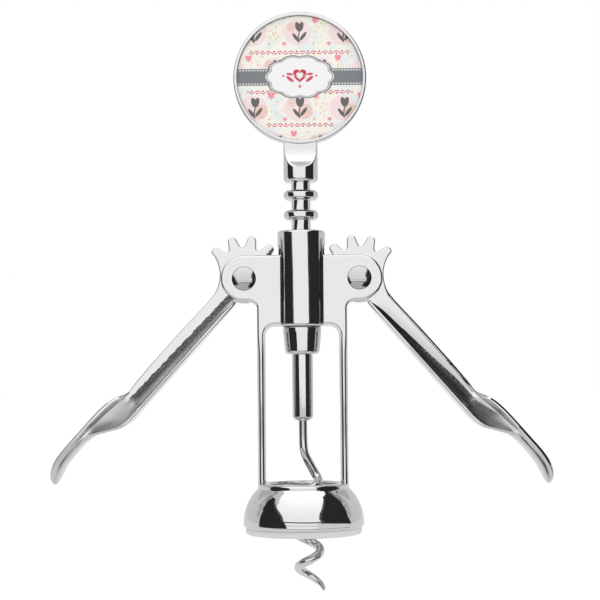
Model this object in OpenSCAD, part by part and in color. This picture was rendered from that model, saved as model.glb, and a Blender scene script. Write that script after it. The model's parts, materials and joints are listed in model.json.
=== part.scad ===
// Wing lever corkscrew: a cast frame with a barrel, two legs and a bell, two geared levers,
// and a ringed spindle that carries the handle above and the worm below.
// The origin is the centre of the ledge that the bottle's lip meets. +Z is up, -Y is the front.

/* [Bottle seat] */
// Outside diameter of the bottle's lip, which the bell takes
lip_d = 29.5; // [28:0.5:32]
// Room left all round the bottle's lip
lip_gap = 0.5; // [0.3:0.1:1]
// How far the bottle's lip goes into the bell
seat_depth = 9; // [7:0.5:10]
// Diameter of the opening in the ledge, which the worm passes through
worm_hole_d = 21; // [16:0.5:22]
// Wall of the plastic insert
insert_wall = 1; // [0.8:0.1:1.5]
// Thickness of the insert's ledge
ledge_t = 1.8; // [1.2:0.2:3]
// Height of the insert's rim, which shows below the metal
insert_rim_h = 2.2; // [1.5:0.1:3]

/* [Bell] */
// Thickness of the bell's skirt at its widest
bell_wall = 3.35; // [2.5:0.05:5]
// Radius of the bell's rounded shoulder, seen from the side
shoulder_r = 15.7; // [13:0.1:18]
// Height of the widest ring above the metal's lower edge
belly_rise = 1.2; // [0.8:0.1:2]
// Height of the upright lip at the top of the bell
bell_lip_h = 1.6; // [1:0.1:3]
// Diameter of the opening in the top of the bell
mouth_d = 23; // [22:0.2:24]

/* [Frame] */
// Outside width over the two legs
leg_span = 29.4; // [27.4:0.2:31]
// Width of each leg
leg_w = 2.5; // [2:0.1:3]
// Height of the window between the legs
window_h = 50.7; // [45:0.5:60]
// Radius of the window's upper corners
window_corner_r = 3.2; // [1.5:0.1:5]
// Height of the lever pivots above the window
pivot_rise = 15.5; // [14.5:0.1:18]
// Height of the barrel's top above the lever pivots
barrel_rise = 15.5; // [15:0.5:20]
// Wall of the barrel around the spindle's shoulder
barrel_wall = 1.4; // [1.3:0.1:2.5]
// Bevel round the barrel's top edge
barrel_bevel = 0.6; // [0.2:0.1:0.8]
// Diameter of the round ears about the pivots
ear_d = 15.4; // [13:0.2:18]
// Thickness of each cheek
cheek_t = 1.75; // [1.4:0.05:2.5]
// Gap between a lever and each of its cheeks
cheek_gap = 0.15; // [0.1:0.05:0.3]
// Radius in the corner between an ear and a leg
ear_fillet_r = 2; // [1:0.1:3]

/* [Rivets] */
// Diameter of a rivet's shank
rivet_d = 5; // [4:0.1:6]
// Diameter of the domed head
head_d = 7.5; // [7:0.1:9]
// Height of the domed head
head_h = 1.1; // [0.8:0.1:2]
// Diameter of the tail, peened over behind
tail_d = 6.6; // [6.4:0.1:8]
// Height of the peened tail
tail_h = 0.8; // [0.5:0.1:1.5]
// Radial gap of the shank in the cheeks
cheek_bore_gap = 0.02; // [0.01:0.01:0.05]
// Radial gap of the shank in a lever
lever_bore_gap = 0.06; // [0.03:0.01:0.1]

/* [Rack and gears] */
// Distance between the spindle's rings
rack_pitch = 6.5; // [6:0.1:7]
// Number of teeth that a whole turn of the gear would hold
full_turn_teeth = 12.5; // [12:0.1:13.5]
// Number of teeth on each lever
teeth = 7; // [7:1:8]
// Angle of the first tooth above level when the lever hangs straight down
first_tooth_a = 5.1; // [3:0.1:7]
// Height of a tooth beyond the pitch line
addendum = 1.2; // [1:0.05:1.3]
// Depth of the gap between two teeth
tooth_depth = 4.4; // [3.5:0.1:4.8]
// Play of a tooth between two rings, both sides together
tooth_play = 0.45; // [0.4:0.05:1]
// How much wider a tooth is at its root than at its tip
tooth_flare = 1.2; // [0.8:0.1:1.6]
// How far the teeth reach in past the rings' edge
mesh_depth = 1.05; // [0.8:0.05:1.2]
// Gap round the gears' tips inside the frame
slot_gap = 1.2; // [0.5:0.1:1.5]

/* [Spindle] */
// Number of rings
rings = 7; // [7:1:7]
// Diameter of the rings
ring_d = 11.2; // [10.6:0.1:11.6]
// Thickness of a ring
ring_t = 3.1; // [2.8:0.1:3.3]
// Bevel of a ring's edges
ring_bevel = 0.6; // [0.4:0.1:1]
// Diameter of the core between the rings
core_d = 6.2; // [5.5:0.1:6.6]
// How far the rings sit below the middle of their play
rack_sit = 0.25; // [0:0.05:0.3]
// Distance from the top ring's middle up to the handle's collar
collar_rise = 4.3; // [3:0.1:6]
// Distance from the lowest ring's middle down to the guide shoulder
shoulder_drop = 2.7; // [2.2:0.1:4]
// Diameter of the guide shoulder, which runs in the barrel
guide_d = 12.5; // [12.3:0.1:13]
// Diameter of the guide shoulder's foot
guide_foot_d = 11.6; // [10:0.1:12]
// Length of the guide shoulder
guide_l = 9.1; // [7:0.1:12]
// Bevel at the top of the guide shoulder
guide_bevel = 1.2; // [0.8:0.1:2]
// Radial gap of the guide shoulder in the barrel
guide_gap = 0.1; // [0.05:0.01:0.2]
// Diameter of the spigot that the handle is pressed on
spigot_d = 5.2; // [4:0.1:5.6]
// Length of the spigot
spigot_l = 5; // [3:0.5:6]
// Gap round the spigot, the ferrule and the shank in their sockets
socket_gap = 0.02; // [0.01:0.01:0.05]

/* [Guide bush] */
// Wall of the plastic bush
bush_wall = 0.85; // [0.7:0.05:1]
// Radial gap between the bush and the spindle's rings
bush_gap = 0.1; // [0.05:0.01:0.2]
// Radial gap between the bush and the barrel, in which it can turn
bush_run_gap = 0.05; // [0.03:0.01:0.1]
// How far the bush stays below the barrel's top
bush_sink = 0.5; // [0.3:0.1:1]

/* [Worm] */
// Outside diameter of the steel ferrule
ferrule_d = 6.8; // [5.5:0.1:8]
// Length of the ferrule below the guide shoulder
ferrule_l = 22.3; // [18:0.1:26]
// How far the ferrule goes up into the spindle
ferrule_grip = 5; // [3:0.5:6]
// Bevel at the ferrule's lower end
ferrule_bevel = 0.6; // [0.3:0.1:1]
// Thickness of the worm's wire
wire_d = 2.8; // [2.4:0.1:3.2]
// How far the wire goes up into the ferrule
shank_grip = 15; // [10:1:20]
// Length of straight wire below the ferrule
shank_l = 11; // [8:0.5:14]
// Height over which the wire bends out into the helix
bend_h = 8.9; // [7:0.1:11]
// Outside diameter of the helix
worm_d = 9.9; // [9:0.1:11]
// Rise of one turn of the helix
worm_pitch = 11; // [9:0.1:12]
// Number of turns in the helix
worm_turns = 3; // [2.5:0.5:3.5]
// Length by which the last half turn is drawn out towards the point
point_l = 1.9; // [0:0.1:3]
// Lean of the wound helix against its shank, in degrees
worm_lean = 2; // [0:0.1:2.5]

/* [Handle] */
// Diameter of the round medallion
medal_d = 43.4; // [38:0.2:50]
// Thickness of the medallion
medal_t = 5; // [4.5:0.1:7]
// Rounding of the medallion's outer edges
medal_edge_r = 0.9; // [0.5:0.1:1.2]
// Width of the rim round the print
rim_w = 1.2; // [1:0.1:2.5]
// Depth of the recess that holds the print
recess_depth = 1.7; // [1.3:0.1:2]
// Distance from the collar's lower end up to the medallion's middle
medal_rise = 34; // [32:0.5:40]
// Half the thickness of the neck between its two flats
neck_flat = 2.1; // [1.8:0.1:2.3]
// Height at which the neck's round collar starts to run out into the flats
collar_h = 5.2; // [5:0.1:7]
// Bevel at the collar's lower end
collar_bevel = 0.7; // [0.3:0.1:1]
// Thickness of the printed disc
print_t = 0.6; // [0.4:0.1:0.8]
// Gap round the printed disc in its recess
print_gap = 0.05; // [0.02:0.01:0.1]
// Thickness of the adhesive pad behind the printed disc
pad_t = 0.2; // [0.1:0.1:0.4]

/* [Levers] */
// Thickness of a lever's plate and gear
lever_t = 4; // [3.5:0.1:5]
// Radius of a lever's hub
hub_r = 8; // [7.7:0.1:9]
// Radius of the hollow curve behind the last tooth
back_r = 11.6; // [11:0.1:12]
// Height of the pivot above that curve's middle
back_drop = 12.1; // [11.5:0.1:13]
// Distance from the pivot to the elbow
arm_l = 53; // [48:0.5:60]
// Distance of the arm's outer edge from the line through the pivot
arm_out = 4.5; // [4:0.1:5.5]
// Distance of the arm's inner edge from the line through the pivot
arm_in = 3.4; // [3:0.1:4]
// Thickness of the rib along the arm's inner edge
rib_t = 2.1; // [1.6:0.1:2.6]
// Length of the paddle beyond the elbow
paddle_l = 37.5; // [32:0.5:42]
// Distance of the paddle's outer face from the line through the pivot
paddle_out = 6.9; // [6.6:0.1:7.5]
// Thickness of the paddle
paddle_t = 3.5; // [2.8:0.1:4.2]
// Breadth of the paddle from front to back
paddle_w = 14.8; // [12:0.2:18]
// Radius of the hollows that dish the elbow
dish_r = 4.2; // [3:0.1:5]
// Depth of the hollows that dish the elbow
dish_depth = 2.6; // [1:0.1:3]
// Angle of the levers from straight down, as drawn
arm_a = 42; // [36:1:120]

/* [Hidden] */
$fn = 96;
EPS = 0.01;
PI2 = 2 * PI;
CUT = 60;           // more than any piece is deep, for cutting shapes

// Bell and insert
lip_bore_r = lip_d / 2 + lip_gap;
insert_r = lip_bore_r + insert_wall;
belly_r = insert_r + bell_wall;
skirt_bevel = 0.7;
skirt_r = belly_r - skirt_bevel;
insert_top = ledge_t;
insert_bottom = -seat_depth;
metal_bottom = insert_bottom + insert_rim_h;
belly_z = metal_bottom + belly_rise;
bell_lip_r = leg_span / 2 + 0.1;
shoulder_x = belly_r - shoulder_r;
shoulder_top = belly_z + sqrt(pow(shoulder_r, 2) - pow(bell_lip_r - shoulder_x, 2));
bell_top = shoulder_top + bell_lip_h;
mouth_r = mouth_d / 2;
insert_shoulder = 1.7;

// Gears and rack
pitch_r = rack_pitch * full_turn_teeth / PI2;
tip_r = pitch_r + addendum;
root_r = tip_r - tooth_depth;
tooth_step = 360 / full_turn_teeth;
tooth_w = rack_pitch - ring_t - tooth_play;
slot_r = tip_r + slot_gap;
ring_r = ring_d / 2;
core_r = core_d / 2;

// Frame
guide_r = guide_d / 2;
bore_r = guide_r + guide_gap;
barrel_r = bore_r + barrel_wall;
cheek_y = lever_t / 2 + cheek_gap;
face_y = cheek_y + cheek_t;
pivot_x = ring_r + tip_r - mesh_depth;
window_top = bell_top + window_h;
pivot_z = window_top + pivot_rise;
barrel_top = pivot_z + barrel_rise;
ear_r = ear_d / 2;
leg_x = leg_span / 2;
rivet_r = rivet_d / 2;

// Guide bush
bush_in_r = ring_r + bush_gap;
bush_r = bush_in_r + bush_wall;
bush_seat_r = bush_r + bush_run_gap;
bush_seat_z = pivot_z + sqrt(pow(slot_r, 2) - pow(pivot_x - bush_seat_r, 2)) + 0.5;
bush_bottom = bush_seat_z + bush_run_gap;
bush_top = barrel_top - bush_sink;

// Spindle, from the gap that holds the first tooth upwards and downwards
gap_z = pivot_z + pitch_r * (first_tooth_a - arm_a) * PI / 180 - rack_sit;
low_ring_z = gap_z - rack_pitch / 2;
top_ring_z = low_ring_z + (rings - 1) * rack_pitch;
guide_top = low_ring_z - shoulder_drop;
guide_foot = guide_top - guide_l;
foot_bevel = 0.8;
collar_z = top_ring_z + collar_rise;
spigot_r = spigot_d / 2;

// Ferrule and worm
ferrule_r = ferrule_d / 2;
ferrule_top = guide_foot + ferrule_grip;
ferrule_end = guide_foot - ferrule_l;
wire_r = wire_d / 2;
shank_top = ferrule_end + shank_grip;
bend_z = ferrule_end - shank_l;
helix_r = worm_d / 2 - wire_r;
wire_lap = wire_d * 0.2;    // how far the bent wire starts inside the straight one
BEND_A = 75;        // turn of the wire between the straight shank and the full helix
WIRE_SIDES = 12;
BEND_STEPS = 10;
TURN_STEPS = 18;    // cross sections in each turn

// Handle
medal_r = medal_d / 2;
medal_z = collar_z + medal_rise;
recess_r = medal_r - rim_w;
recess_y = medal_t / 2 - recess_depth;
print_r = recess_r - print_gap;
neck_r = ring_r;
runout_r = neck_r - neck_flat;

// ---- shared helpers ----

// Round bar along Z between two heights
module bar(r, z0, z1, r1 = undef) {
    translate([0, 0, z0])
        cylinder(r1 = r, r2 = is_undef(r1) ? r : r1, h = z1 - z0);
}

// Extrudes an outline drawn in X and Z, evenly to the front and back
module slab(half_y) {
    rotate([90, 0, 0])
        linear_extrude(height = 2 * half_y, center = true)
            children();
}

// Turns a shape about the front-to-back axis through a pivot at the origin, arm end outwards
module swing(a) {
    rotate([0, -a, 0])
        children();
}

module both_sides() {
    children();
    mirror([1, 0, 0])
        children();
}

// Smooth curve through a list of points, with n steps in each span
function smooth(p, n = 5) = [
    for (i = [0:len(p) - 2], k = [0:n - 1])
        let (a = p[max(i - 1, 0)], b = p[i], c = p[i + 1], d = p[min(i + 2, len(p) - 1)], t = k / n)
            0.5 * (2 * b + (c - a) * t + (2 * a - 5 * b + 4 * c - d) * t * t
                   + (3 * b - a - 3 * c + d) * t * t * t),
    p[len(p) - 1]
];

function unit(v) = v / norm(v);

function reversed(p) = [for (i = [len(p) - 1:-1:0]) p[i]];

// ---- frame ----

// Half of the bell's cross section, up to its lip, with the shoulder as a true arc
module bell_outside() {
    intersection() {
        translate([shoulder_x, belly_z])
            circle(r = shoulder_r);
        translate([0, metal_bottom + skirt_bevel])
            square([belly_r, shoulder_top - metal_bottom - skirt_bevel]);
    }
    polygon([[0, metal_bottom], [skirt_r, metal_bottom], [belly_r - 0.05, metal_bottom + skirt_bevel + EPS],
             [0, metal_bottom + skirt_bevel + EPS]]);
    translate([0, shoulder_top - EPS])
        square([bell_lip_r, bell_lip_h + EPS]);
}

module bell_hollow() {
    translate([0, metal_bottom - 1])
        square([insert_r, insert_top - metal_bottom + 1]);
    polygon([[0, insert_top - EPS], [insert_r - insert_shoulder, insert_top - EPS],
             [mouth_r, bell_top - bell_lip_h], [mouth_r, bell_top + 1], [0, bell_top + 1]]);
}

module bell() {
    rotate_extrude()
        difference() {
            bell_outside();
            bell_hollow();
        }
}

// The two ears, the block between them and the legs, seen from the front
module cheek_outline() {
    difference() {
        union() {
            both_sides()
                translate([pivot_x, pivot_z])
                    circle(r = ear_r);
            translate([-pivot_x, pivot_z - ear_r])
                square([2 * pivot_x, 2 * ear_r]);
            translate([-leg_x, bell_top - bell_lip_h - 1])
                square([2 * leg_x, pivot_z - bell_top + bell_lip_h + 1]);
            both_sides()
                translate([leg_x - EPS, pivot_z - ear_r - ear_fillet_r])
                    square([ear_fillet_r + EPS, ear_fillet_r + EPS]);
        }
        both_sides()
            translate([leg_x + ear_fillet_r, pivot_z - ear_r - ear_fillet_r])
                circle(r = ear_fillet_r);
        window_outline();
    }
}

// The window, with its two upper corners rounded
module window_outline() {
    half = leg_x - leg_w;
    r = window_corner_r;
    translate([-half, bell_top - 5])
        square([2 * half, window_h + 5 - r]);
    translate([-half + r, window_top - r - EPS])
        square([2 * (half - r), r + EPS]);
    both_sides()
        translate([half - r, window_top - r])
            circle(r = r);
}

module frame_casting() {
    color("silver")
        difference() {
            union() {
                bell();
                slab(face_y)
                    cheek_outline();
                bar(barrel_r, window_top, barrel_top - barrel_bevel);
                bar(barrel_r, barrel_top - barrel_bevel, barrel_top, barrel_r - barrel_bevel);
            }
            bar(bore_r, window_top - 1, bush_seat_z + EPS);
            bar(bush_seat_r, bush_seat_z, barrel_top + 1);
            both_sides()
                translate([pivot_x, 0, pivot_z]) {
                    rotate([90, 0, 0])
                        cylinder(r = slot_r, h = 2 * cheek_y, center = true);
                    rotate([90, 0, 0])
                        cylinder(r = rivet_r + cheek_bore_gap, h = CUT, center = true);
                }
        }
}

// Ring that lines the bell, with the rim below the metal and the ledge for the bottle's lip
module bell_insert() {
    lead = insert_wall;
    rim_r = skirt_r - 0.1;
    round_r = insert_rim_h * 0.45;
    color("gainsboro")
        rotate_extrude()
            difference() {
                union() {
                    translate([0, insert_bottom])
                        square([insert_r, insert_top - insert_bottom]);
                    translate([0, insert_bottom + round_r])
                        square([rim_r, insert_rim_h - round_r]);
                    translate([0, insert_bottom])
                        square([rim_r - round_r, round_r + EPS]);
                    translate([rim_r - round_r, insert_bottom + round_r])
                        circle(r = round_r);
                }
                translate([0, insert_bottom - 1])
                    square([lip_bore_r, seat_depth + 1]);
                polygon([[0, insert_bottom - EPS], [lip_bore_r + lead, insert_bottom - EPS],
                         [lip_bore_r, insert_bottom + lead], [0, insert_bottom + lead]]);
                translate([0, -1])
                    square([worm_hole_d / 2, ledge_t + 2]);
            }
}

// Dome of a given width and height, as a slice of a ball, rising along +Z from the origin
module dome(d, h) {
    r = (pow(d / 2, 2) + h * h) / (2 * h);
    intersection() {
        translate([0, 0, h - r])
            sphere(r = r);
        cylinder(d = d + 1, h = h + 1);
    }
}

module rivet(side) {
    translate([side * pivot_x, 0, pivot_z]) {
        rotate([90, 0, 0])
            cylinder(r = rivet_r, h = 2 * face_y, center = true);
        translate([0, -face_y, 0])
            rotate([90, 0, 0])
                dome(head_d, head_h);
        translate([0, face_y, 0])
            rotate([-90, 0, 0])
                dome(tail_d, tail_h);
    }
}

module rivet_left() {
    color("gray")
        rivet(-1);
}

module rivet_right() {
    color("gray")
        rivet(1);
}

module guide_bush() {
    color("ivory")
        difference() {
            bar(bush_r, bush_bottom, bush_top);
            bar(bush_in_r, bush_bottom - 1, bush_top + 1);
        }
}

// ---- levers ----
// A lever is drawn about its pivot with the arm straight down and its outer edge towards +X.

// One tooth with a round tip and flared flanks, at an angle above level on the inner side
module tooth(a) {
    tip_w = tooth_w / 2;
    foot_w = tip_w + tooth_flare / 2;
    rotate(180 - a) {
        translate([tip_r - tip_w, 0])
            circle(r = tip_w, $fn = 48);
        polygon([[root_r - 1, -foot_w], [tip_r - tip_w, -tip_w],
                 [tip_r - tip_w, tip_w], [root_r - 1, foot_w]]);
    }
}

// Pie slice between two angles above level on the inner side
module slice(r, from, to) {
    n = 9;
    polygon(concat([[0, 0]],
                   [for (i = [0:n]) let (a = 180 - from - (to - from) * i / n) r * [cos(a), sin(a)]]));
}

// Gear sector: teeth on a root disc, with a round bottom in each gap
module gear_outline() {
    last_a = first_tooth_a + (teeth - 1) * tooth_step;
    gap_r = (PI2 * root_r / full_turn_teeth - tooth_w - tooth_flare) / 2 + 0.2;
    difference() {
        union() {
            intersection() {
                circle(r = root_r + gap_r);
                slice(2 * root_r, first_tooth_a - 8, last_a + 4);
            }
            for (i = [0:teeth - 1])
                tooth(first_tooth_a + i * tooth_step);
        }
        for (i = [0:teeth - 2])
            rotate(180 - first_tooth_a - (i + 0.5) * tooth_step)
                translate([root_r + gap_r, 0])
                    circle(r = gap_r, $fn = 32);
    }
}

// Fills in behind the last tooth, down to the arm's outer edge, and ends in a hollow curve
module back_curve() {
    difference() {
        polygon([[0, 0], [tip_r - 0.6, -0.9], [hub_r + 0.5, -hub_r], [arm_out - 0.5, -hub_r - 2]]);
        translate([arm_out - 0.6 + back_r, -back_drop])
            circle(r = back_r);
    }
}

// Edges of the arm and paddle, as [distance down from the pivot, distance outwards]
function outer_edge() = concat(
    [[7, arm_out + 0.8], [11, arm_out]],
    [[arm_l - 12, arm_out + 0.1]],
    smooth([[arm_l, arm_out - 0.6], [arm_l + 3.5, arm_out + 1.1], [arm_l + 8, paddle_out - 0.3],
            [arm_l + 16, paddle_out], [arm_l + paddle_l - 11, paddle_out],
            [arm_l + paddle_l - 5.5, paddle_out - 0.5], [arm_l + paddle_l - 1.5, paddle_out - 2.4],
            [arm_l + paddle_l, paddle_out - 4.3]]));

function inner_edge() = concat(
    [[8, -arm_in], [arm_l + 2, -arm_in]],
    smooth([[arm_l + 5.5, -arm_in], [arm_l + 9, -2.4], [arm_l + 13.5, 0.2],
            [arm_l + 17.5, paddle_out - paddle_t - 0.6], [arm_l + 22, paddle_out - paddle_t],
            [arm_l + paddle_l - 9, paddle_out - paddle_t], [arm_l + paddle_l - 4, 2.5],
            [arm_l + paddle_l - 0.6, 1.5]]));

// The rib's side away from the inner edge, which turns out to the outer edge at the elbow
function rib_line() = smooth([
    [8, rib_t - arm_in], [20, rib_t - arm_in], [arm_l - 14, rib_t - arm_in], [arm_l - 6, rib_t - arm_in + 1.4],
    [arm_l - 1.5, arm_out - 2.4], [arm_l + 0.5, arm_out - 0.6]], 4);

function down(p) = [for (q = p) [q[1], -q[0]]];

module plate_outline() {
    outer = [for (q = outer_edge()) if (q[0] <= arm_l + 4) q];
    polygon(down(concat([[0, 0]], outer, [[arm_l + 2, -arm_in], [8, -arm_in], [4, -6]])));
}

module rib_outline() {
    outer = [for (q = outer_edge()) if (q[0] > arm_l + 0.5) q];
    polygon(down(concat(rib_line(), outer, reversed(inner_edge()))));
}

// Half depth of the rib and paddle, as [distance down from the pivot, half depth]
function half_depth() = smooth([
    [8, lever_t / 2 + 0.1], [14, paddle_w * 0.27], [24, paddle_w * 0.365], [arm_l - 10, paddle_w * 0.44],
    [arm_l, paddle_w * 0.475], [arm_l + 10, paddle_w * 0.49], [arm_l + 20, paddle_w / 2], [arm_l + paddle_l - 9, paddle_w * 0.46],
    [arm_l + paddle_l - 3, paddle_w * 0.3], [arm_l + paddle_l + 0.6, 0]], 4);

// Long hollow with a round end, which dishes the elbow's front and back between its two rims
module dish() {
    from = [1, arm_l - 13];
    to = [paddle_out - 3.4, arm_l + 12];
    run = norm(to - from);
    for (side = [-1, 1])
        translate([from[0], side * (paddle_w / 2 - 0.6 + dish_r - dish_depth), -from[1]])
            rotate([0, 180 - asin((to[0] - from[0]) / run), 0]) {
                cylinder(r = dish_r, h = run);
                translate([0, 0, run])
                    sphere(r = dish_r);
            }
}

module lever() {
    depth = half_depth();
    difference() {
        union() {
            slab(lever_t / 2) {
                circle(r = hub_r);
                gear_outline();
                back_curve();
                plate_outline();
            }
            intersection() {
                slab(CUT / 2)
                    rib_outline();
                rotate([0, 90, 0])
                    linear_extrude(height = CUT, center = true)
                        polygon(concat(depth, [for (q = reversed(depth)) [q[0], -q[1]]]));
            }
        }
        rotate([90, 0, 0])
            cylinder(r = rivet_r + lever_bore_gap, h = CUT, center = true);
        dish();
    }
}

module lever_right() {
    color("lightgray")
        translate([pivot_x, 0, pivot_z])
            swing(arm_a)
                lever();
}

module lever_left() {
    color("lightgray")
        mirror([1, 0, 0])
            translate([pivot_x, 0, pivot_z])
                swing(arm_a)
                    lever();
}

// ---- spindle ----

// Half section of a ring about its middle height, with both edges bevelled
module ring_section(z) {
    b = ring_bevel;
    h = ring_t / 2;
    translate([0, z])
        polygon([[0, -h], [ring_r - b, -h], [ring_r, b - h], [ring_r, h - b], [ring_r - b, h], [0, h]]);
}

// Half section of the guide shoulder, which runs in the barrel and tapers to its foot
module guide_section() {
    foot_r = guide_foot_d / 2;
    polygon([[0, guide_foot], [foot_r - foot_bevel, guide_foot], [foot_r, guide_foot + foot_bevel],
             [guide_r, guide_top - guide_l / 3], [guide_r, guide_top - guide_bevel],
             [guide_r - guide_bevel / 2, guide_top], [0, guide_top]]);
}

module rack_spindle() {
    color("silver")
        difference() {
            rotate_extrude() {
                translate([0, guide_top - 1])
                    square([core_r, collar_z - guide_top + 1]);
                translate([0, collar_z - 1])
                    square([spigot_r, spigot_l + 1]);
                for (i = [0:rings - 1])
                    ring_section(low_ring_z + i * rack_pitch);
                guide_section();
            }
            bar(ferrule_r + socket_gap, guide_foot - 1, ferrule_top);
        }
}

module worm_ferrule() {
    b = ferrule_bevel;
    color("silver")
        difference() {
            union() {
                bar(ferrule_r, ferrule_end + b, ferrule_top);
                bar(ferrule_r - b, ferrule_end, ferrule_end + b, ferrule_r);
            }
            bar(wire_r + socket_gap, ferrule_end - 1, shank_top);
        }
}

// Angle round the helix, drop below the bend and distance from the axis, at step i
function bend_at(i) = let (u = i / BEND_STEPS)
    [BEND_A * (1 - pow(u, 360 * bend_h / worm_pitch / BEND_A)), bend_h * u,
     helix_r * u * u * (3 - 2 * u)];
function turn_at(i) = let (a = -360 * i / TURN_STEPS, late = max(0, -a - 360 * worm_turns + 180) / 180)
    [a, bend_h - worm_pitch * a / 360 + point_l * late * late, helix_r];

helix_steps = floor(worm_turns * TURN_STEPS);
WIRE = concat([[BEND_A, -wire_lap, 0]], [for (i = [0:BEND_STEPS - 1]) bend_at(i)],
              [for (i = [0:helix_steps]) turn_at(i)]);

// A ring of points round the wire: narrow where it starts inside the shank, and drawn in at the point
function wire_point(w) = [w[2] * cos(w[0]) + max(0, w[1]) * tan(worm_lean), w[2] * sin(w[0]), -w[1]];
function wire_ring(i) =
    let (n = len(WIRE), w = WIRE[i], a = WIRE[max(i - 1, 0)], b = WIRE[min(i + 1, n - 1)],
         along = unit(wire_point(b) - wire_point(a)), out = [cos(w[0]), sin(w[0]), 0],
         side = unit(cross(along, out)), up = cross(side, along),
         left = (n - 1 - i) / (TURN_STEPS * 0.4),
         r = wire_r * (i < 2 ? 0.95 : left < 1 ? 0.35 + 0.65 * sqrt(left) : 1))
    [for (k = [0:WIRE_SIDES - 1])
        wire_point(w) + r * (cos(360 * k / WIRE_SIDES) * up + sin(360 * k / WIRE_SIDES) * side)];

module worm() {
    n = len(WIRE);
    m = WIRE_SIDES;
    color("dimgray") {
        bar(wire_r, bend_z, shank_top);
        translate([0, 0, bend_z])
            polyhedron(
                points = [for (i = [0:n - 1]) each wire_ring(i)],
                faces = concat(
                    [[for (k = [0:m - 1]) k]],
                    [for (i = [0:n - 2], k = [0:m - 1]) [i * m + k, (i + 1) * m + k, i * m + (k + 1) % m]],
                    [for (i = [0:n - 2], k = [0:m - 1])
                        [i * m + (k + 1) % m, (i + 1) * m + k, (i + 1) * m + (k + 1) % m]],
                    [[for (k = [m - 1:-1:0]) (n - 1) * m + k]]));
    }
}

// ---- handle ----

// Half of the medallion's cross section: distance from its axis, then height towards the front
module medal_section() {
    h = medal_t / 2;
    e = medal_edge_r;
    translate([0, -h + e])
        square([medal_r, medal_t - 2 * e]);
    translate([0, -h])
        square([medal_r - e, medal_t]);
    for (y = [-h + e, h - e])
        translate([medal_r - e, y])
            circle(r = e, $fn = 48);
}

// Puts a shape drawn about Z at the medallion's middle, with its top towards the front
module on_medal() {
    translate([0, 0, medal_z])
        rotate([90, 0, 0])
            children();
}

// Section of what is cut from the front of the neck: a flat above a round run-out, in Y and Z
module neck_cut() {
    runout_z = collar_z + collar_h + runout_r;
    translate([neck_r, runout_z])
        circle(r = runout_r);
    translate([neck_flat, runout_z])
        square([CUT, CUT]);
}

module neck() {
    difference() {
        union() {
            bar(neck_r - collar_bevel, collar_z, collar_z + collar_bevel, neck_r);
            bar(neck_r, collar_z + collar_bevel, medal_z - recess_r + 2);
        }
        for (side = [-1, 1])
            rotate([0, 0, 90 * side])
                slab(CUT / 2)
                    neck_cut();
        bar(spigot_r + socket_gap, collar_z - 1, collar_z + spigot_l + socket_gap);
    }
}

module handle_casting() {
    color("white")
        difference() {
            union() {
                on_medal()
                    rotate_extrude($fn = 180)
                        medal_section();
                neck();
            }
            on_medal()
                translate([0, 0, recess_y])
                    cylinder(r = recess_r, h = CUT, $fn = 180);
        }
}

module adhesive_pad() {
    color("whitesmoke")
        on_medal()
            translate([0, 0, recess_y])
                cylinder(r = print_r - 1, h = pad_t, $fn = 180);
}

module print_disc() {
    color("mistyrose")
        on_medal()
            translate([0, 0, recess_y + pad_t])
                cylinder(r = print_r, h = print_t, $fn = 180);
}

frame_casting();
bell_insert();
rivet_left();
rivet_right();
guide_bush();
lever_left();
lever_right();
rack_spindle();
worm_ferrule();
worm();
handle_casting();
print_disc();
adhesive_pad();
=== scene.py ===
# %% [markdown]
# # A wing corkscrew, built up from its castings
# This file builds the looks of a lever corkscrew round a frame of exact solids that is already made.
# Almost every surface is bright plate, and bright plate shows nothing of its own: it shows the room.
# So the lesson is about two things: rounding every edge in the mesh, and hanging a studio round it.

# %% Load the frame
import json
import math
import bmesh
import bpy
from mathutils import Matrix, Vector, geometry

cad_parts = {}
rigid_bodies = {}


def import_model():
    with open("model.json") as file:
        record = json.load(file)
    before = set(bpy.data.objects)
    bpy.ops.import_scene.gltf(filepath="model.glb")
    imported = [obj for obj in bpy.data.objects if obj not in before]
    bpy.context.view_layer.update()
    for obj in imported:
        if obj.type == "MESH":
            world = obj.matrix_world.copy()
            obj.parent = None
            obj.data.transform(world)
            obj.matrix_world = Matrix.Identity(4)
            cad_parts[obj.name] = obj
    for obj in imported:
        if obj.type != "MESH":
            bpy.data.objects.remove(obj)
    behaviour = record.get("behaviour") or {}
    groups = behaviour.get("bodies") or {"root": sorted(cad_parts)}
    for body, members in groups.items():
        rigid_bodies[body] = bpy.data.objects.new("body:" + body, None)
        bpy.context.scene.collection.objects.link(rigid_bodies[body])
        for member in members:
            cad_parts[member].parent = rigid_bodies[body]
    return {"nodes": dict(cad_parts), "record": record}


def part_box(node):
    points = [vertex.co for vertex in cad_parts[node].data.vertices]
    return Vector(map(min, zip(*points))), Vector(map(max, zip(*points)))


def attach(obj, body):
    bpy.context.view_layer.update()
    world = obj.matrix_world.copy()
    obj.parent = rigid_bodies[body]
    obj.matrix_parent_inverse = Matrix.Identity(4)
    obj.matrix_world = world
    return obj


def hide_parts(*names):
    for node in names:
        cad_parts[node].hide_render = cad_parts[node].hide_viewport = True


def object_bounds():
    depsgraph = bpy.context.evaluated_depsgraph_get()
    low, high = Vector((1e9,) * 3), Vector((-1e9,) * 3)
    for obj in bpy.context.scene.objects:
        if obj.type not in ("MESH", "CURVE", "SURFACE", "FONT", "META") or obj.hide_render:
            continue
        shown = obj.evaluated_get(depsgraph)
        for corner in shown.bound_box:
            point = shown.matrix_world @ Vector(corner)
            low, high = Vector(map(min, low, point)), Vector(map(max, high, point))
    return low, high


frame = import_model()
cad_box = [list(corner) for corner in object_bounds()]
MM = 0.001
joints = {joint["name"]: joint for joint in frame["record"]["behaviour"]["joints"]}
pivot = Vector(joints["lever_right_pivot"]["pos_m"]) / MM


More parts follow.
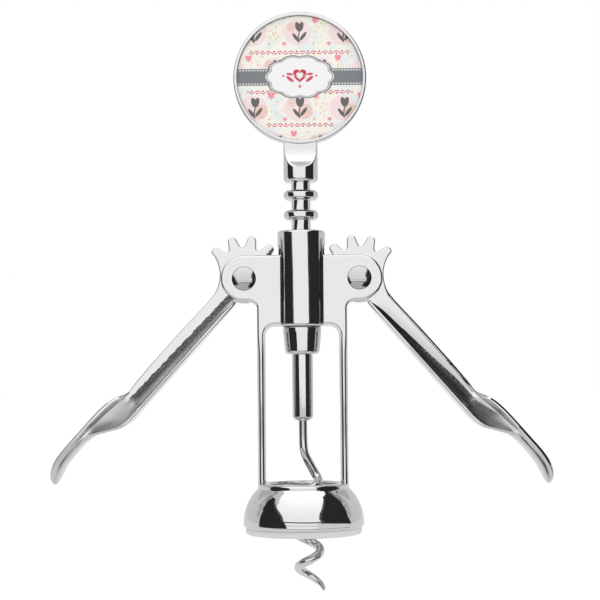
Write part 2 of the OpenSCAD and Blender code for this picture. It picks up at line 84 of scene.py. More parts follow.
def limits(node):
    """Lowest and highest corner of a CAD node, in millimetres."""
    return [Vector(corner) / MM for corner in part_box(node)]


# %% [markdown]
# ## Meshes for plated parts
# A die casting has no sharp edge: the die is rounded, and plating rounds it again.
# On a mirror finish that rounding is what draws the outline, as a thin dark or bright line.
# A bevel modifier would do it on simple shapes, but here each shape is drawn with its rounding in it,
# so that the width of every edge can be chosen. Flat faces then need their normals weighted by area,
# or the shading of the rounding would bleed into them.

# %% Clean a mesh and its normals
SHARP = 40                                                     # degrees over which an edge stays sharp
SAME_PLACE = 2e-7                                              # points closer than this are one, in metres


def tidy_mesh(piece, sharp=SHARP):
    """Merges doubled points, turns all faces outwards and marks the sharp edges."""
    bm = bmesh.new()
    bm.from_mesh(piece.data)
    bmesh.ops.remove_doubles(bm, verts=bm.verts, dist=SAME_PLACE)
    bmesh.ops.dissolve_degenerate(bm, edges=bm.edges, dist=SAME_PLACE)
    bmesh.ops.recalc_face_normals(bm, faces=bm.faces)
    for face in bm.faces:
        face.smooth = True
    for edge in bm.edges:
        edge.smooth = not (edge.is_manifold and edge.calc_face_angle() > math.radians(sharp))
    bm.to_mesh(piece.data)
    bm.free()


def weigh_normals(piece):
    """Keeps flat faces flat in the shading, right up to their rounded edges."""
    weigh = piece.modifiers.new("flat_faces", "WEIGHTED_NORMAL")
    weigh.mode = "FACE_AREA"
    weigh.weight = 50
    weigh.keep_sharp = True


# %% Make a mesh from points
def make_mesh(name, points, faces, sharp=SHARP):
    """A mesh object from points in millimetres, with smooth faces and sharp edges over an angle."""
    mesh = bpy.data.meshes.new(name)
    mesh.from_pydata([Vector(p) * MM for p in points], [], faces)
    mesh.validate()
    piece = bpy.data.objects.new(name, mesh)
    bpy.context.scene.collection.objects.link(piece)
    tidy_mesh(piece, sharp)
    return piece


# %% [markdown]
# ## The finishes
# Chrome is simple to describe: metallic 1, a neutral base near 0.7, and very low roughness.
# What keeps it from looking like computer chrome is what lies under the plating: the casting's slow
# waviness, a fine grain where it wasn't polished, and wipe marks that change how sharp a reflection is.
# Those three come from one node group, which every finish here uses with its own numbers.

# %% Build a node group
def node_group(name, inputs, outputs):
    """An empty shader group with named sockets; a default may be a float or a colour."""
    tree = bpy.data.node_groups.new(name, "ShaderNodeTree")
    for label, value in inputs:
        kind = "NodeSocketVector" if value is None else (
            "NodeSocketColor" if isinstance(value, tuple) else "NodeSocketFloat")
        socket = tree.interface.new_socket(name=label, in_out="INPUT", socket_type=kind)
        if value is not None:
            socket.default_value = value
    for label, kind in outputs:
        tree.interface.new_socket(name=label, in_out="OUTPUT", socket_type=kind)
    return tree, tree.nodes.new("NodeGroupInput"), tree.nodes.new("NodeGroupOutput")


# %% Add nodes by name
def node(tree, kind, values=None, **links):
    """Adds a node, sets its properties and sockets, and links sockets by name, or by number as i0."""
    made = tree.nodes.new("ShaderNode" + kind)
    for key, value in (values or {}).items():
        if isinstance(key, str) and hasattr(made, key):
            setattr(made, key, value)
        else:
            made.inputs[key].default_value = value
    for key, source in links.items():
        numbered = key[0] == "i" and key[1:].isdigit()
        tree.links.new(source, made.inputs[int(key[1:]) if numbered else key.replace("_", " ")])
    return made


def math_node(tree, operation, a, b=None):
    """One Math node; a and b are numbers or outputs."""
    made = tree.nodes.new("ShaderNodeMath")
    made.operation = operation
    for k, value in enumerate((a, b)):
        if isinstance(value, (int, float)):
            made.inputs[k].default_value = value
        elif value is not None:
            tree.links.new(value, made.inputs[k])
    return made.outputs[0]


def in_mm(tree, place):
    """A place in object space, in millimetres."""
    return node(tree, "VectorMath", {"operation": "SCALE", "Scale": 1 / MM}, i0=place).outputs["Vector"]


# %% Build the cast skin, as a group
def build_cast_skin():
    """Height and roughness of a casting's surface, in millimetres of object space."""
    tree, given, result = node_group(
        "cast_skin",
        [("Vector", None), ("Wave", 0.3), ("Wave Size", 6.0), ("Grain", 0.1), ("Grain Size", 0.5),
         ("Smooth", 0.04), ("Smear", 0.03)],
        [("Height", "NodeSocketFloat"), ("Roughness", "NodeSocketFloat"), ("Mask", "NodeSocketFloat")])
    spot = in_mm(tree, given.outputs["Vector"])
    slow = node(tree, "TexNoise", {"Detail": 1.0, "Roughness": 0.4}, Vector=spot)
    tree.links.new(math_node(tree, "DIVIDE", 1.0, given.outputs["Wave Size"]), slow.inputs["Scale"])
    fine = node(tree, "TexNoise", {"Detail": 3.0, "Roughness": 0.65}, Vector=spot)
    tree.links.new(math_node(tree, "DIVIDE", 1.0, given.outputs["Grain Size"]), fine.inputs["Scale"])
    wiped = node(tree, "TexNoise", {"Scale": 0.16, "Detail": 3.0, "Distortion": 0.8}, Vector=spot)
    wave = math_node(tree, "MULTIPLY", slow.outputs[0], given.outputs["Wave"])
    grain = math_node(tree, "MULTIPLY", fine.outputs[0], given.outputs["Grain"])
    tree.links.new(math_node(tree, "ADD", wave, grain), result.inputs["Height"])
    patch = node(tree, "MapRange", {1: 0.42, 2: 0.68}, Value=wiped.outputs[0])
    smear = math_node(tree, "MULTIPLY", patch.outputs[0], given.outputs["Smear"])
    tree.links.new(math_node(tree, "ADD", given.outputs["Smooth"], smear), result.inputs["Roughness"])
    tree.links.new(fine.outputs[0], result.inputs["Mask"])
    return tree


CAST_SKIN = build_cast_skin()
print("group", CAST_SKIN.name, "with", len(CAST_SKIN.nodes), "nodes")

# %% Start a material
RELIEF = 0.0001                                                # metres of relief for a height of 1


def new_material(name):
    """An empty node material with its output, a Principled shader and object coordinates."""
    material = bpy.data.materials.new(name)
    material.use_nodes = True
    tree = material.node_tree
    tree.nodes.clear()
    out = tree.nodes.new("ShaderNodeOutputMaterial")
    shader = tree.nodes.new("ShaderNodeBsdfPrincipled")
    tree.links.new(shader.outputs[0], out.inputs["Surface"])
    place = tree.nodes.new("ShaderNodeTexCoord").outputs["Object"]
    return material, tree, shader, place


def put_skin(tree, place, numbers):
    """The cast skin in a material, with that material's own numbers."""
    skin = tree.nodes.new("ShaderNodeGroup")
    skin.node_tree = CAST_SKIN
    tree.links.new(place, skin.inputs["Vector"])
    for label, value in numbers.items():
        skin.inputs[label].default_value = value
    return skin


def emboss(tree, shader, height):
    """Turns a height into relief on the shader."""
    relief = node(tree, "Bump", {"Strength": 1.0, "Distance": RELIEF}, Height=height)
    tree.links.new(relief.outputs[0], shader.inputs["Normal"])


# %% Mix bright chrome
MOTTLED = (0.3, 0.7)                                           # where mottling starts and ends in the grain


def two_tone(tree, shader, mask, dark, light):
    """Base colour that runs from dark to light with a mask."""
    ramp = tree.nodes.new("ShaderNodeValToRGB")
    for stop, place, colour in zip(ramp.color_ramp.elements, MOTTLED, (dark, light)):
        stop.position, stop.color = place, (*colour, 1)
    tree.links.new(mask, ramp.inputs[0])
    tree.links.new(ramp.outputs[0], shader.inputs["Base Color"])


def metal(name, light, dark, skin_numbers):
    """A plated or bare metal: cast skin for its relief and its wipe marks."""
    material, tree, shader, place = new_material(name)
    shader.inputs["Metallic"].default_value = 1.0
    skin = put_skin(tree, place, skin_numbers)
    emboss(tree, shader, skin.outputs["Height"])
    tree.links.new(skin.outputs["Roughness"], shader.inputs["Roughness"])
    two_tone(tree, shader, skin.outputs["Mask"], dark, light)
    return material


chrome = metal("bright_chrome", (0.70, 0.70, 0.71), (0.66, 0.66, 0.67), {"Wave": 0.25, "Grain": 0.012})
print("material", chrome.name)

# %% [markdown]
# ## The frame: cheeks and legs
# The cheeks, the legs and the block round the barrel are one flat shape, half of it in each half of the
# die. Its sides slope a little towards the parting line, so the casting can leave the die, and each side
# slopes its own way: the ears hardly, the legs' outer sides as a broad chamfer that leaves only a narrow
# ridge in front. So the outline is pressed into a plate whose edge changes with the way it faces.

# %% Measure the frame and draw the cheeks' outline
low, high = limits("frame_casting")
BARREL_LOW, BARREL_R, barrel_top = 58.0, 7.75, high.z
FACE_Y, SLOT_Y = 3.9, 2.15                                     # half depths of the cheeks and the slots
EAR_R, EAR_FILLET = 7.7, 2
LEG_X, LEG_IN, LEG_FOOT = 14.7, 11.95, 5.2
WINDOW_TOP, WINDOW_CORNER = 58.0, 3.2
ear_low = pivot.z - EAR_R
print("frame from", tuple(round(v, 2) for v in low), "to", tuple(round(v, 2) for v in high))


def arc(cx, cz, r, start, stop, steps):
    """Points of an arc, in degrees."""
    return [Vector((cx + r * math.cos(math.radians(start + (stop - start) * k / steps)),
                    cz + r * math.sin(math.radians(start + (stop - start) * k / steps))))
            for k in range(steps + 1)]


def upright(x, z0, z1, steps):
    """Points on an upright line."""
    return [Vector((x, z0 + (z1 - z0) * k / steps)) for k in range(steps + 1)]


half = [Vector((2.0 * k, WINDOW_TOP)) for k in range(5)]
half += arc(LEG_IN - WINDOW_CORNER, WINDOW_TOP - WINDOW_CORNER, WINDOW_CORNER, 90, 0, 8)
half += upright(LEG_IN, WINDOW_TOP - WINDOW_CORNER - 1, LEG_FOOT, 34)
half += upright(LEG_X, LEG_FOOT, ear_low - EAR_FILLET - 0.6, 38)
half += arc(LEG_X + EAR_FILLET, ear_low - EAR_FILLET, EAR_FILLET, 180, 90, 8)
half += arc(pivot.x, pivot.z, EAR_R, -90, 90, 40)
half += [Vector((x, pivot.z + EAR_R)) for x in (16, 13, 10, 5)]
cheek_outline = half + [Vector((-p.x, p.y)) for p in reversed(half[1:])]

# %% Press a plate with rounded edges from an outline
def plate(name, outline, edge_of, back_of=None):
    """A plate in X and Z. edge_of(here, normal) lists (inset, depth) from the middle out to the front."""
    count = len(outline)
    loops, backs = [], []
    for i, here in enumerate(outline):
        a = (here - outline[i - 1]).normalized()
        b = (outline[(i + 1) % count] - here).normalized()
        na, nb = Vector((a.y, -a.x)), Vector((b.y, -b.x))
        mitre = (na + nb) / max(0.3, 1 + na.dot(nb))           # never so long that it shoots out
        for half, edge in ((loops, edge_of), (backs, back_of or edge_of)):
            half.append([(here - mitre * inset, depth) for inset, depth in edge(here, mitre.normalized())])
    deep = len(loops[0])
    levels = [(k, 1) for k in range(deep - 1, 0, -1)] + [(k, -1) for k in range(deep)]
    points = [(half[i][k][0].x, side * half[i][k][1], half[i][k][0].y)
              for k, side in levels for half in [backs if side > 0 else loops] for i in range(count)]
    faces = [[s * count + i, s * count + (i + 1) % count, (s + 1) * count + (i + 1) % count,
              (s + 1) * count + i] for s in range(len(levels) - 1) for i in range(count)]
    last = (len(levels) - 1) * count
    for half, first in ((backs, 0), (loops, last)):
        cap = geometry.tessellate_polygon([[Vector((*half[i][-1][0], 0)) for i in range(count)]])
        faces += [[first + i for i in t] for t in cap]
    return make_mesh(name, points, faces)


def quarter_edge(inset, width, top, height, steps=8):
    """Rounding from a shoulder at an inset, over a width, up to a face at a height from the middle."""
    out = [(0, 0), (inset * 0.98, top)]
    for k in range(1, steps + 1):
        turn = k / steps * math.pi / 2
        out.append((inset + width * (1 - math.cos(turn)), top + (height - top) * math.sin(turn)))
    return out


# %% Choose how each side slopes
# A rounding is its inset at the shoulder, its width and its half depth at the shoulder
EAR_EDGE, WINDOW_EDGE = (0.12, 0.85, 3.15), (0.75, 0.55, 3.3)
BLOCK_OUTER, BLOCK_INNER = (0.15, 0.85, 3.15), (0.7, 0.5, 3.3)
EAR_DRAFT = 0.3                                                # more inset where an ear faces down
LEG_TO_BLOCK = (47, 57)                                        # heights where a leg becomes the block
# Half of a leg's section, from its side to the narrow ridge in front
LEG_EDGE = [(0, 0), (0.08, 1.9), (0.26, 2.85), (0.45, 3.27), (0.60, 3.48), (0.78, 3.66), (0.94, 3.77),
            (1.07, 3.845), (1.18, 3.88), (1.36, FACE_Y)]


def between(first, second, t):
    """Edge points part of the way from one edge to another."""
    return [(a[0] * (1 - t) + b[0] * t, a[1] * (1 - t) + b[1] * t) for a, b in zip(first, second)]


def ease(x, low, high):
    """0 below low, 1 above high, and a smooth step between."""
    t = min(1, max(0, (x - low) / (high - low)))
    return t * t * (3 - 2 * t)


def cheek_edge(here, normal):
    """How the edge slopes and rounds at a point of the outline."""
    x, z = abs(here.x), here.y
    up, outward = normal.y, normal.x * here.x > 0
    if z > ear_low - 0.01 or up > 0.5:                         # ears and top
        inset, width, top = EAR_EDGE
        return quarter_edge(inset + EAR_DRAFT * ease(-up, 0.2, 0.9), width, top, FACE_Y)
    if up < -0.5 and x < LEG_IN:                               # top of the window
        return quarter_edge(*WINDOW_EDGE, FACE_Y)
    block = quarter_edge(*(BLOCK_OUTER if outward else BLOCK_INNER), FACE_Y)
    return between(LEG_EDGE, block, ease(z, *LEG_TO_BLOCK))


cheeks = plate("cheeks", cheek_outline, cheek_edge)
print("cheek outline", len(cheek_outline), "points;", len(cheeks.data.polygons), "faces")

# %% [markdown]
# ## The frame: barrel and bell
# Both are round, so both are lathe work: a half section, spun. The section is drawn as corners with a
# radius each. The bell is one big arc that ends in a small hollow under its upright lip.
# The slots for the gears are cut once the cheeks and the barrel are one, with a disc round each rivet,
# so that their walls keep the same distance from the teeth all the way round.

# %% Round the corners of an outline
def rounded(corners, steps=6, closed=True):
    """Outline from (x, z, radius) corners, each turned into an arc of its radius."""
    out = []
    count = len(corners)
    for i, (x, z, radius) in enumerate(corners):
        here = Vector((x, z))
        if radius <= 0 or (not closed and i in (0, count - 1)):
            out.append(here)
            continue
        back = Vector(corners[i - 1][:2]) - here
        on = Vector(corners[(i + 1) % count][:2]) - here
        half = back.angle(on) / 2
        # An arc takes less than half of each side, so that two of them never meet
        reach = min(radius / math.tan(half), 0.49 * back.length, 0.49 * on.length)
        radius = reach * math.tan(half)
        centre = here + (back.normalized() + on.normalized()).normalized() * radius / math.sin(half)
        first = here + back.normalized() * reach - centre
        last = here + on.normalized() * reach - centre
        start = math.atan2(first.y, first.x)
        turn = math.atan2(last.y, last.x) - start
        turn -= math.tau * round(turn / math.tau)
        out += [centre + radius * Vector((math.cos(start + turn * k / steps),
                                          math.sin(start + turn * k / steps)))
                for k in range(steps + 1)]
    return out


# %% Turn a profile on a lathe
def turned(name, profile, steps=144, across=False, centre=(0, 0, 0)):
    """Spins a closed profile of (radius, height) points about Z, or about the front-to-back axis."""
    points, faces, rings = [], [], []
    for r, h in profile:
        if r < 1e-6:
            rings.append([len(points)] * steps)
            points.append((0, 0, h))
        else:
            rings.append(list(range(len(points), len(points) + steps)))
            points += [(r * math.cos(math.tau * k / steps), r * math.sin(math.tau * k / steps), h)
                       for k in range(steps)]
    for a, b in zip(rings, rings[1:] + rings[:1]):
        for k in range(steps):
            n = (k + 1) % steps
            corner = list(dict.fromkeys([a[k], a[n], b[n], b[k]]))
            if len(corner) > 2:
                faces.append(corner)
    if across:
        points = [(x, -h, y) for x, y, h in points]
    return make_mesh(name, [Vector(p) + Vector(centre) for p in points], faces)


# %% Turn the barrel and the bell
LIP_R, MOUTH_R, BELL_TOP, INSERT_R, INSERT_TOP = 14.82, 11.5, 7.3, 16.25, 1.8
BELLY_X, BELLY_Z, BELLY_R, BELLY_TURN = 3.89, -5.6, 15.7, 42
barrel = turned("barrel", rounded([
    (0, BARREL_LOW, 0), (BARREL_R, BARREL_LOW, 0.9), (BARREL_R, barrel_top, 0.8), (0, barrel_top, 0)]))
belly = arc(BELLY_X, BELLY_Z, BELLY_R, 0, BELLY_TURN, 30)
bell_section = [Vector(p) for p in ((INSERT_R, INSERT_TOP), (INSERT_R, low.z))]
bell_section += rounded([(18.6, low.z, 0), (18.95, low.z, 0.25), (19.59, -5.9, 0.5), (19.59, -5.55, 0)],
                        4, False)[:-1]
bell_section += belly
bell_section += rounded([
    (belly[-1].x, belly[-1].y, 0), (LIP_R, 5.72, 0.7), (LIP_R, BELL_TOP, 0.75), (MOUTH_R, BELL_TOP, 0.6),
    (MOUTH_R, 5.7, 0), (14.55, INSERT_TOP, 0)], 6, False)[1:]
bell = turned("bell", bell_section, 192)
print("barrel", len(barrel.data.polygons), "faces; bell", len(bell.data.polygons))

# %% Join and cut solids
def carved(piece, others, how):
    """Unites a piece with others, or cuts them from it, and drops the others."""
    for k, other in enumerate(others):
        step = piece.modifiers.new(f"{how}_{k}", "BOOLEAN")
        step.operation = how
        step.solver = "EXACT"
        step.object = other
    bpy.context.view_layer.update()
    mesh = bpy.data.meshes.new_from_object(piece.evaluated_get(bpy.context.evaluated_depsgraph_get()))
    piece.modifiers.clear()
    piece.data = mesh
    for other in others:
        bpy.data.objects.remove(other)
    tidy_mesh(piece)
    return piece


# %% Fill the corners beside the barrel
FILLET_R, FILLET_IN = 1.2, 1.0                                 # radius, and its root in the cheek
# Height and share of the full radius, from the lower end of a fillet to its upper end
FILLET_ROWS = ((BARREL_LOW + 0.6, 0.15), (BARREL_LOW + 1.6, 1), (80.2, 1), (80.9, 0.7), (81.15, 0.15))


def skinned(name, sections, sharp=SHARP):
    """Joins closed sections with the same number of points, and closes both ends."""
    count = len(sections[0])
    points = [p for section in sections for p in section]
    faces = [[s * count + k, s * count + (k + 1) % count, (s + 1) * count + (k + 1) % count,
              (s + 1) * count + k] for s in range(len(sections) - 1) for k in range(count)]
    faces += [list(range(count)), [len(points) - count + k for k in range(count)]]
    return make_mesh(name, points, faces, sharp)


def corner_fillet(side, depth):
    """Fills the corner between the barrel and a cheek, along the height of the cheek."""
    sections = []
    for z, grow in FILLET_ROWS:
        f = FILLET_R * grow
        cx, cy = math.sqrt((BARREL_R + f) ** 2 - (FACE_Y + f) ** 2), FACE_Y + f
        start = math.atan2(-cy, -cx)
        sweep = math.radians(-90) - start
        curve = [(cx + f * math.cos(start + sweep * k / 10), cy + f * math.sin(start + sweep * k / 10))
                 for k in range(11)]
        curve += [(cx, FACE_Y - FILLET_IN), (cx - 1.6, FACE_Y - FILLET_IN)]
        sections.append([(side * x, depth * y, z) for x, y in curve])
    return skinned("fillet", sections)


fillets = [corner_fillet(side, depth) for side in (-1, 1) for depth in (-1, 1)]
body = carved(cheeks, [barrel] + fillets, "UNION")
print("frame without its bell", len(body.data.polygons), "faces")

# %% Cut the bore and the gear slots, and join the bell
WAY_R, BUSH_R, BUSH_Z, CHAMFER = 6.35, 6.6, 83.44, 0.35        # the spindle's way, and the bush's seat
GEAR_WAY_R, RIVET_HOLE_R = 15.33, 2.52


def disc(name, r, half_y, x):
    """A plain cutting disc about a pivot."""
    return turned(name, [(0, -half_y), (r, -half_y), (r, half_y), (0, half_y)], 128, True, (x, 0, pivot.z))


# The bore's cutter starts below the barrel and ends above it
bore = turned("bore", [(0, 50), (WAY_R, 50), (WAY_R, BUSH_Z), (BUSH_R, BUSH_Z),
                       (BUSH_R, barrel_top - CHAMFER), (BUSH_R + CHAMFER, barrel_top),
                       (BUSH_R + CHAMFER, 95), (0, 95)])
slots = [disc("slot", GEAR_WAY_R, SLOT_Y, side * pivot.x) for side in (-1, 1)]
holes = [disc("hole", RIVET_HOLE_R, 6, side * pivot.x) for side in (-1, 1)]
carved(body, [bore] + slots + holes, "DIFFERENCE")
frame_casting = carved(body, [bell], "UNION")
frame_casting.name = "frame_body"
weigh_normals(frame_casting)
frame_casting.data.materials.append(chrome)
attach(frame_casting, "frame")
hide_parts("frame_casting")
print("frame", len(frame_casting.data.polygons), "faces")

# %% [markdown]
# ## The plastic insert
# A grey-white ring lines the bell so the bottle's glass doesn't meet metal. Only its rounded rim shows.
# It is a softer thing than chrome in every way, so its rounding is large next to its size.
# A pale plastic isn't painted on: some light goes in and comes out again beside where it went in.
# Subsurface scattering does that, and without it the ring would look like stone.

# %% Turn the insert
low, high = limits("bell_insert")
RIM_R, RIM_TOP, SEAT_R, LEDGE_R, WALL_R = 18.8, -6.82, 15.25, 10.5, 16.2
bell_insert = turned("insert_ring", rounded([
    (SEAT_R, low.z + 1, 0.3), (INSERT_R, low.z, 0.3), (RIM_R, low.z, 1.0), (RIM_R, RIM_TOP, 0.15),
    (WALL_R, RIM_TOP, 0.1), (WALL_R, INSERT_TOP, 0.2), (LEDGE_R, INSERT_TOP, 0.3), (LEDGE_R, 0, 0.3),
    (SEAT_R, 0, 0.1)], 5), 192)
weigh_normals(bell_insert)
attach(bell_insert, "frame")
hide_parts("bell_insert")
print("insert", len(bell_insert.data.polygons), "faces")

# %% Mix a moulded plastic
def plastic(name, light, dark, roughness=0.32, clear=0.0, grain=0.05):
    """Moulded plastic: faint mottling, a fine skin, and a little light that passes through."""
    material, tree, shader, place = new_material(name)
    shader.inputs["IOR"].default_value = 1.5
    shader.inputs["Subsurface Weight"].default_value = clear
    shader.inputs["Subsurface Radius"].default_value = (0.002, 0.002, 0.002)
    shader.inputs["Subsurface Scale"].default_value = 1.0
    skin = put_skin(tree, place, {"Wave": 0.2, "Grain": grain, "Grain Size": 0.35, "Smooth": roughness,
                                  "Smear": 0.12})
    emboss(tree, shader, skin.outputs["Height"])
    tree.links.new(skin.outputs["Roughness"], shader.inputs["Roughness"])
    two_tone(tree, shader, skin.outputs["Mask"], dark, light)
    return material


insert_plastic = plastic("insert_plastic", (0.62, 0.63, 0.64), (0.57, 0.58, 0.59), clear=0.3)
bell_insert.data.materials.append(insert_plastic)
print("material", insert_plastic.name)

# %% [markdown]
# ## The rivets
# Each lever turns on a plain steel rivet. The head in front is a low dome pressed in the rivet maker's
# die, and the tail behind is peened over it by hand, smaller and flatter. A dome is an arc spun about
# the rivet's own axis, on a low upright edge where it meets the cheek.
# Its rim is painted darker than its middle, as painted shade where the head meets the cheek, so its finish
# has to calculate with places. A small class lets node
# sums be written like sums of numbers.

# %% Calculate with sockets
class Sum:
    """A value in a shader that can be added, multiplied and compared like a number."""

    def __init__(self, tree, socket):
        self.tree, self.socket = tree, socket

    def do(self, operation, other=None):
        other = other.socket if isinstance(other, Sum) else other
        return Sum(self.tree, math_node(self.tree, operation, self.socket, other))

    def __add__(self, other):
        return self.do("ADD", other)

    def __sub__(self, other):
        return self.do("SUBTRACT", other)

    def __mul__(self, other):
        return self.do("MULTIPLY", other)

    def size(self):
        return self.do("ABSOLUTE")

    def least(self, other):
        return self.do("MINIMUM", other)

    def most(self, other):
        return self.do("MAXIMUM", other)

    def rise(self, low, high):
        """0 at low and 1 at high, with a smooth step between."""
        made = node(self.tree, "MapRange", {"interpolation_type": "SMOOTHSTEP", 1: low, 2: high})
        self.tree.links.new(self.socket, made.inputs[0])
        return Sum(self.tree, made.outputs[0])


# %% Mix rivet steel with painted shade at its rim
HEAD_R, HEAD_EDGE = 3.9, 0.16                                  # radius, and height of the upright edge
TAIL_R, TAIL_EDGE, SHANK_R = 3.3, 0.1, 2.5
RIM_SHADE_WIDTH, RIM_SHADE_BRIGHTNESS = 0.3, 0.38                             # width of the painted shade at the rim, and how bright the metal stays there
rivet_steel = metal("rivet_steel", (0.58, 0.58, 0.59), (0.52, 0.52, 0.53),
                    {"Wave Size": 3.0, "Grain": 0.03, "Smooth": 0.08, "Smear": 0.06})


def painted_rim_shade(material, radius):
    """Paints shade on a rivet close to its rim, where the head meets the cheek."""
    tree = material.node_tree
    kinds = {part.type: part for part in tree.nodes}
    shader, ramp = kinds["BSDF_PRINCIPLED"], kinds["VALTORGB"]
    parts = node(tree, "SeparateXYZ", i0=in_mm(tree, kinds["TEX_COORD"].outputs["Object"]))
    x, z = (Sum(tree, parts.outputs[k]) for k in (0, 2))
    across, up = x.size() - pivot.x, z - pivot.z
    reach = (across * across + up * up).do("SQRT")
    # Painted shade: the metal is darker close to the rim
    middle = (reach * -1).rise(0.05 - radius, 0.1 + RIM_SHADE_WIDTH - radius)
    unshaded = middle * (1 - RIM_SHADE_BRIGHTNESS) + RIM_SHADE_BRIGHTNESS
    shade = node(tree, "VectorMath", {"operation": "SCALE"}, i0=ramp.outputs[0], Scale=unshaded.socket)
    tree.links.new(shade.outputs[0], shader.inputs["Base Color"])


painted_rim_shade(rivet_steel, HEAD_R)
print("material", rivet_steel.name, "with", len(rivet_steel.node_tree.nodes), "nodes")

# %% Turn the two rivets
def dome(width, height, base, steps=14):
    """Points over a dome from its rim to its middle, on top of a base height."""
    r = (width * width / 4 + height * height) / (2 * height)
    tip = math.asin(width / 2 / r)
    return [(r * math.sin(tip * (1 - k / steps)), base + height - r + r * math.cos(tip * (1 - k / steps)))
            for k in range(steps + 1)]


for side, label in ((-1, "left"), (1, "right")):
    low, high = limits(f"rivet_{label}")
    head_z, tail_z = FACE_Y + HEAD_EDGE, FACE_Y + TAIL_EDGE
    head = [(HEAD_R, FACE_Y), (HEAD_R, head_z)] + dome(2 * HEAD_R, -low.y - head_z, head_z)[1:]
    tail = [(r, -h) for r, h in dome(2 * TAIL_R, high.y - tail_z, tail_z)[1:]]
    profile = [(SHANK_R, FACE_Y), *head, *reversed(tail), (TAIL_R, -tail_z), (TAIL_R, -FACE_Y),
               (SHANK_R, -FACE_Y)]
    rivet = turned(f"rivet_head_{label}", profile, 96, True, (side * pivot.x, 0, pivot.z))
    weigh_normals(rivet)
    rivet.data.materials.append(rivet_steel)
    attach(rivet, "frame")
    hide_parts(f"rivet_{label}")
    print("rivet", label, len(rivet.data.polygons), "faces")


# %% [markdown]
# ## The levers: gear and plate
# A lever is one casting of three parts that run into each other: a gear, a thin plate and a deep flange
# that widens into the paddle. The gear and plate are a second pressed outline. Its teeth are cut to
# roll on round rings, not on a true rack, so they are narrow, with a round tip and an open gap.
# All of it is drawn with the arm straight down from the pivot, and swung to how it hangs at the end.

# %% Draw the gear and plate
TEETH, TOOTH_STEP, FIRST_TOOTH = 7, 28.8, 5.1                  # the last two in degrees
TIP_R, TIP_HALF, TIP_ROUND, GAP_R, GAP_ROUND = 14.1, 1.28, 1.2, 9.2, 0.85
HUB_R, ARM_IN, ARM_LENGTH = 8, -3.0, 53.0
ARM_SIDE = ((3.7, -ARM_LENGTH), (4.15, -48), (4.3, -40), (4.25, -26), (4.0, -17))
THROAT = (15.5, -12.1, 11.6, 178, 107, 22)                     # the hollow under the lowest tooth


def polar(angle, u, v):
    """A point u out and v across, on a ray at an angle in degrees."""
    a = math.radians(angle)
    return u * math.cos(a) - v * math.sin(a), u * math.sin(a) + v * math.cos(a)


def tooth(ray, first_round=TIP_ROUND):
    """The two corners of a tooth's tip."""
    return [(*polar(ray, TIP_R, -TIP_HALF), first_round), (*polar(ray, TIP_R, TIP_HALF), TIP_ROUND)]


def gear_and_plate():
    """The lever's flat outline about its pivot, with the arm straight down."""
    corners = [(ARM_IN, -ARM_LENGTH, 0)] + [(x, z, 0) for x, z in ARM_SIDE]
    corners += [(p.x, p.y, 0) for p in arc(*THROAT)]
    lowest = 180 - FIRST_TOOTH - (TEETH - 1) * TOOTH_STEP
    corners += tooth(lowest, 1.1)
    for k in range(1, TEETH):
        ray = lowest + k * TOOTH_STEP
        corners += [(*polar(ray - TOOTH_STEP / 2, GAP_R, 0), GAP_ROUND)] + tooth(ray)
    corners += [(*polar(180 - FIRST_TOOTH + 14, 9.0, 0), 0.8)]
    corners += [(p.x, p.y, 0) for p in arc(0, 0, HUB_R, 196, 246, 16)]
    corners += [(ARM_IN, -14, 0), (ARM_IN, -30, 0)]
    return rounded(corners, 7)


lever_plate = gear_and_plate()
print("lever outline", len(lever_plate), "points")

# %% [markdown]
# ## The levers: flange and paddle
# Seen from its side, the flange is an I-beam that has lost its other half: a band in front, a hollow
# cove behind it that runs out flat into the plate, and the same again at the back. At the elbow a second
# band rises on the outer side and the cove becomes a dish between the two; beyond it they close up to a
# paddle with a shallow groove in its edge. That change of section along a line is what a loft is for:
# a table of stations down the arm, each with the same number of points, and a skin over all of them.

# %% List the stations
# Down from the pivot, inner face, outer face, valley of the cove, its half depth, half depths of the bands
STATIONS = [
    (7.6, -3.3, 3.9, -1.2, 1.9, 2.1, 1.9), (9, -3.45, 4.0, -0.8, 1.9, 2.7, 1.9),
    (14, -3.45, 3.9, -0.3, 1.9, 4.1, 1.9), (24, -3.4, 4.1, 0.6, 1.9, 5.4, 1.9),
    (34, -3.4, 4.2, 1.6, 1.9, 6.0, 1.9), (43, -3.4, 4.1, 2.8, 1.9, 6.5, 1.9),
    (51, -3.4, 3.8, 3.1, 1.9, 6.9, 1.9), (53, -3.4, 4.0, 3.2, 2.0, 7.0, 3.0),
    (55, -3.4, 5.0, 3.5, 2.3, 7.05, 6.2), (58, -3.4, 6.1, 3.9, 2.6, 7.2, 7.1),
    (62, -2.6, 6.7, 4.3, 3.2, 7.3, 7.25), (66, -0.1, 6.85, 4.6, 4.4, 7.3, 7.35),
    (70, 2.4, 6.88, 4.9, 6.2, 7.25, 7.35), (74, 3.35, 6.88, 4.9, 6.85, 7.2, 7.35),
    (80, 3.4, 6.88, 4.9, 6.7, 7.0, 7.1), (84, 3.0, 6.5, 4.5, 6.0, 6.3, 6.4),
    (87.5, 1.9, 5.4, 3.5, 4.4, 4.7, 4.8), (89.5, 1.3, 4.0, 2.5, 2.2, 2.9, 3.0),
    (90.45, 1.55, 2.7, 2.1, 0.5, 0.7, 0.7)]
print(len(STATIONS), "stations, from", STATIONS[0][0], "to", STATIONS[-1][0], "mm down")

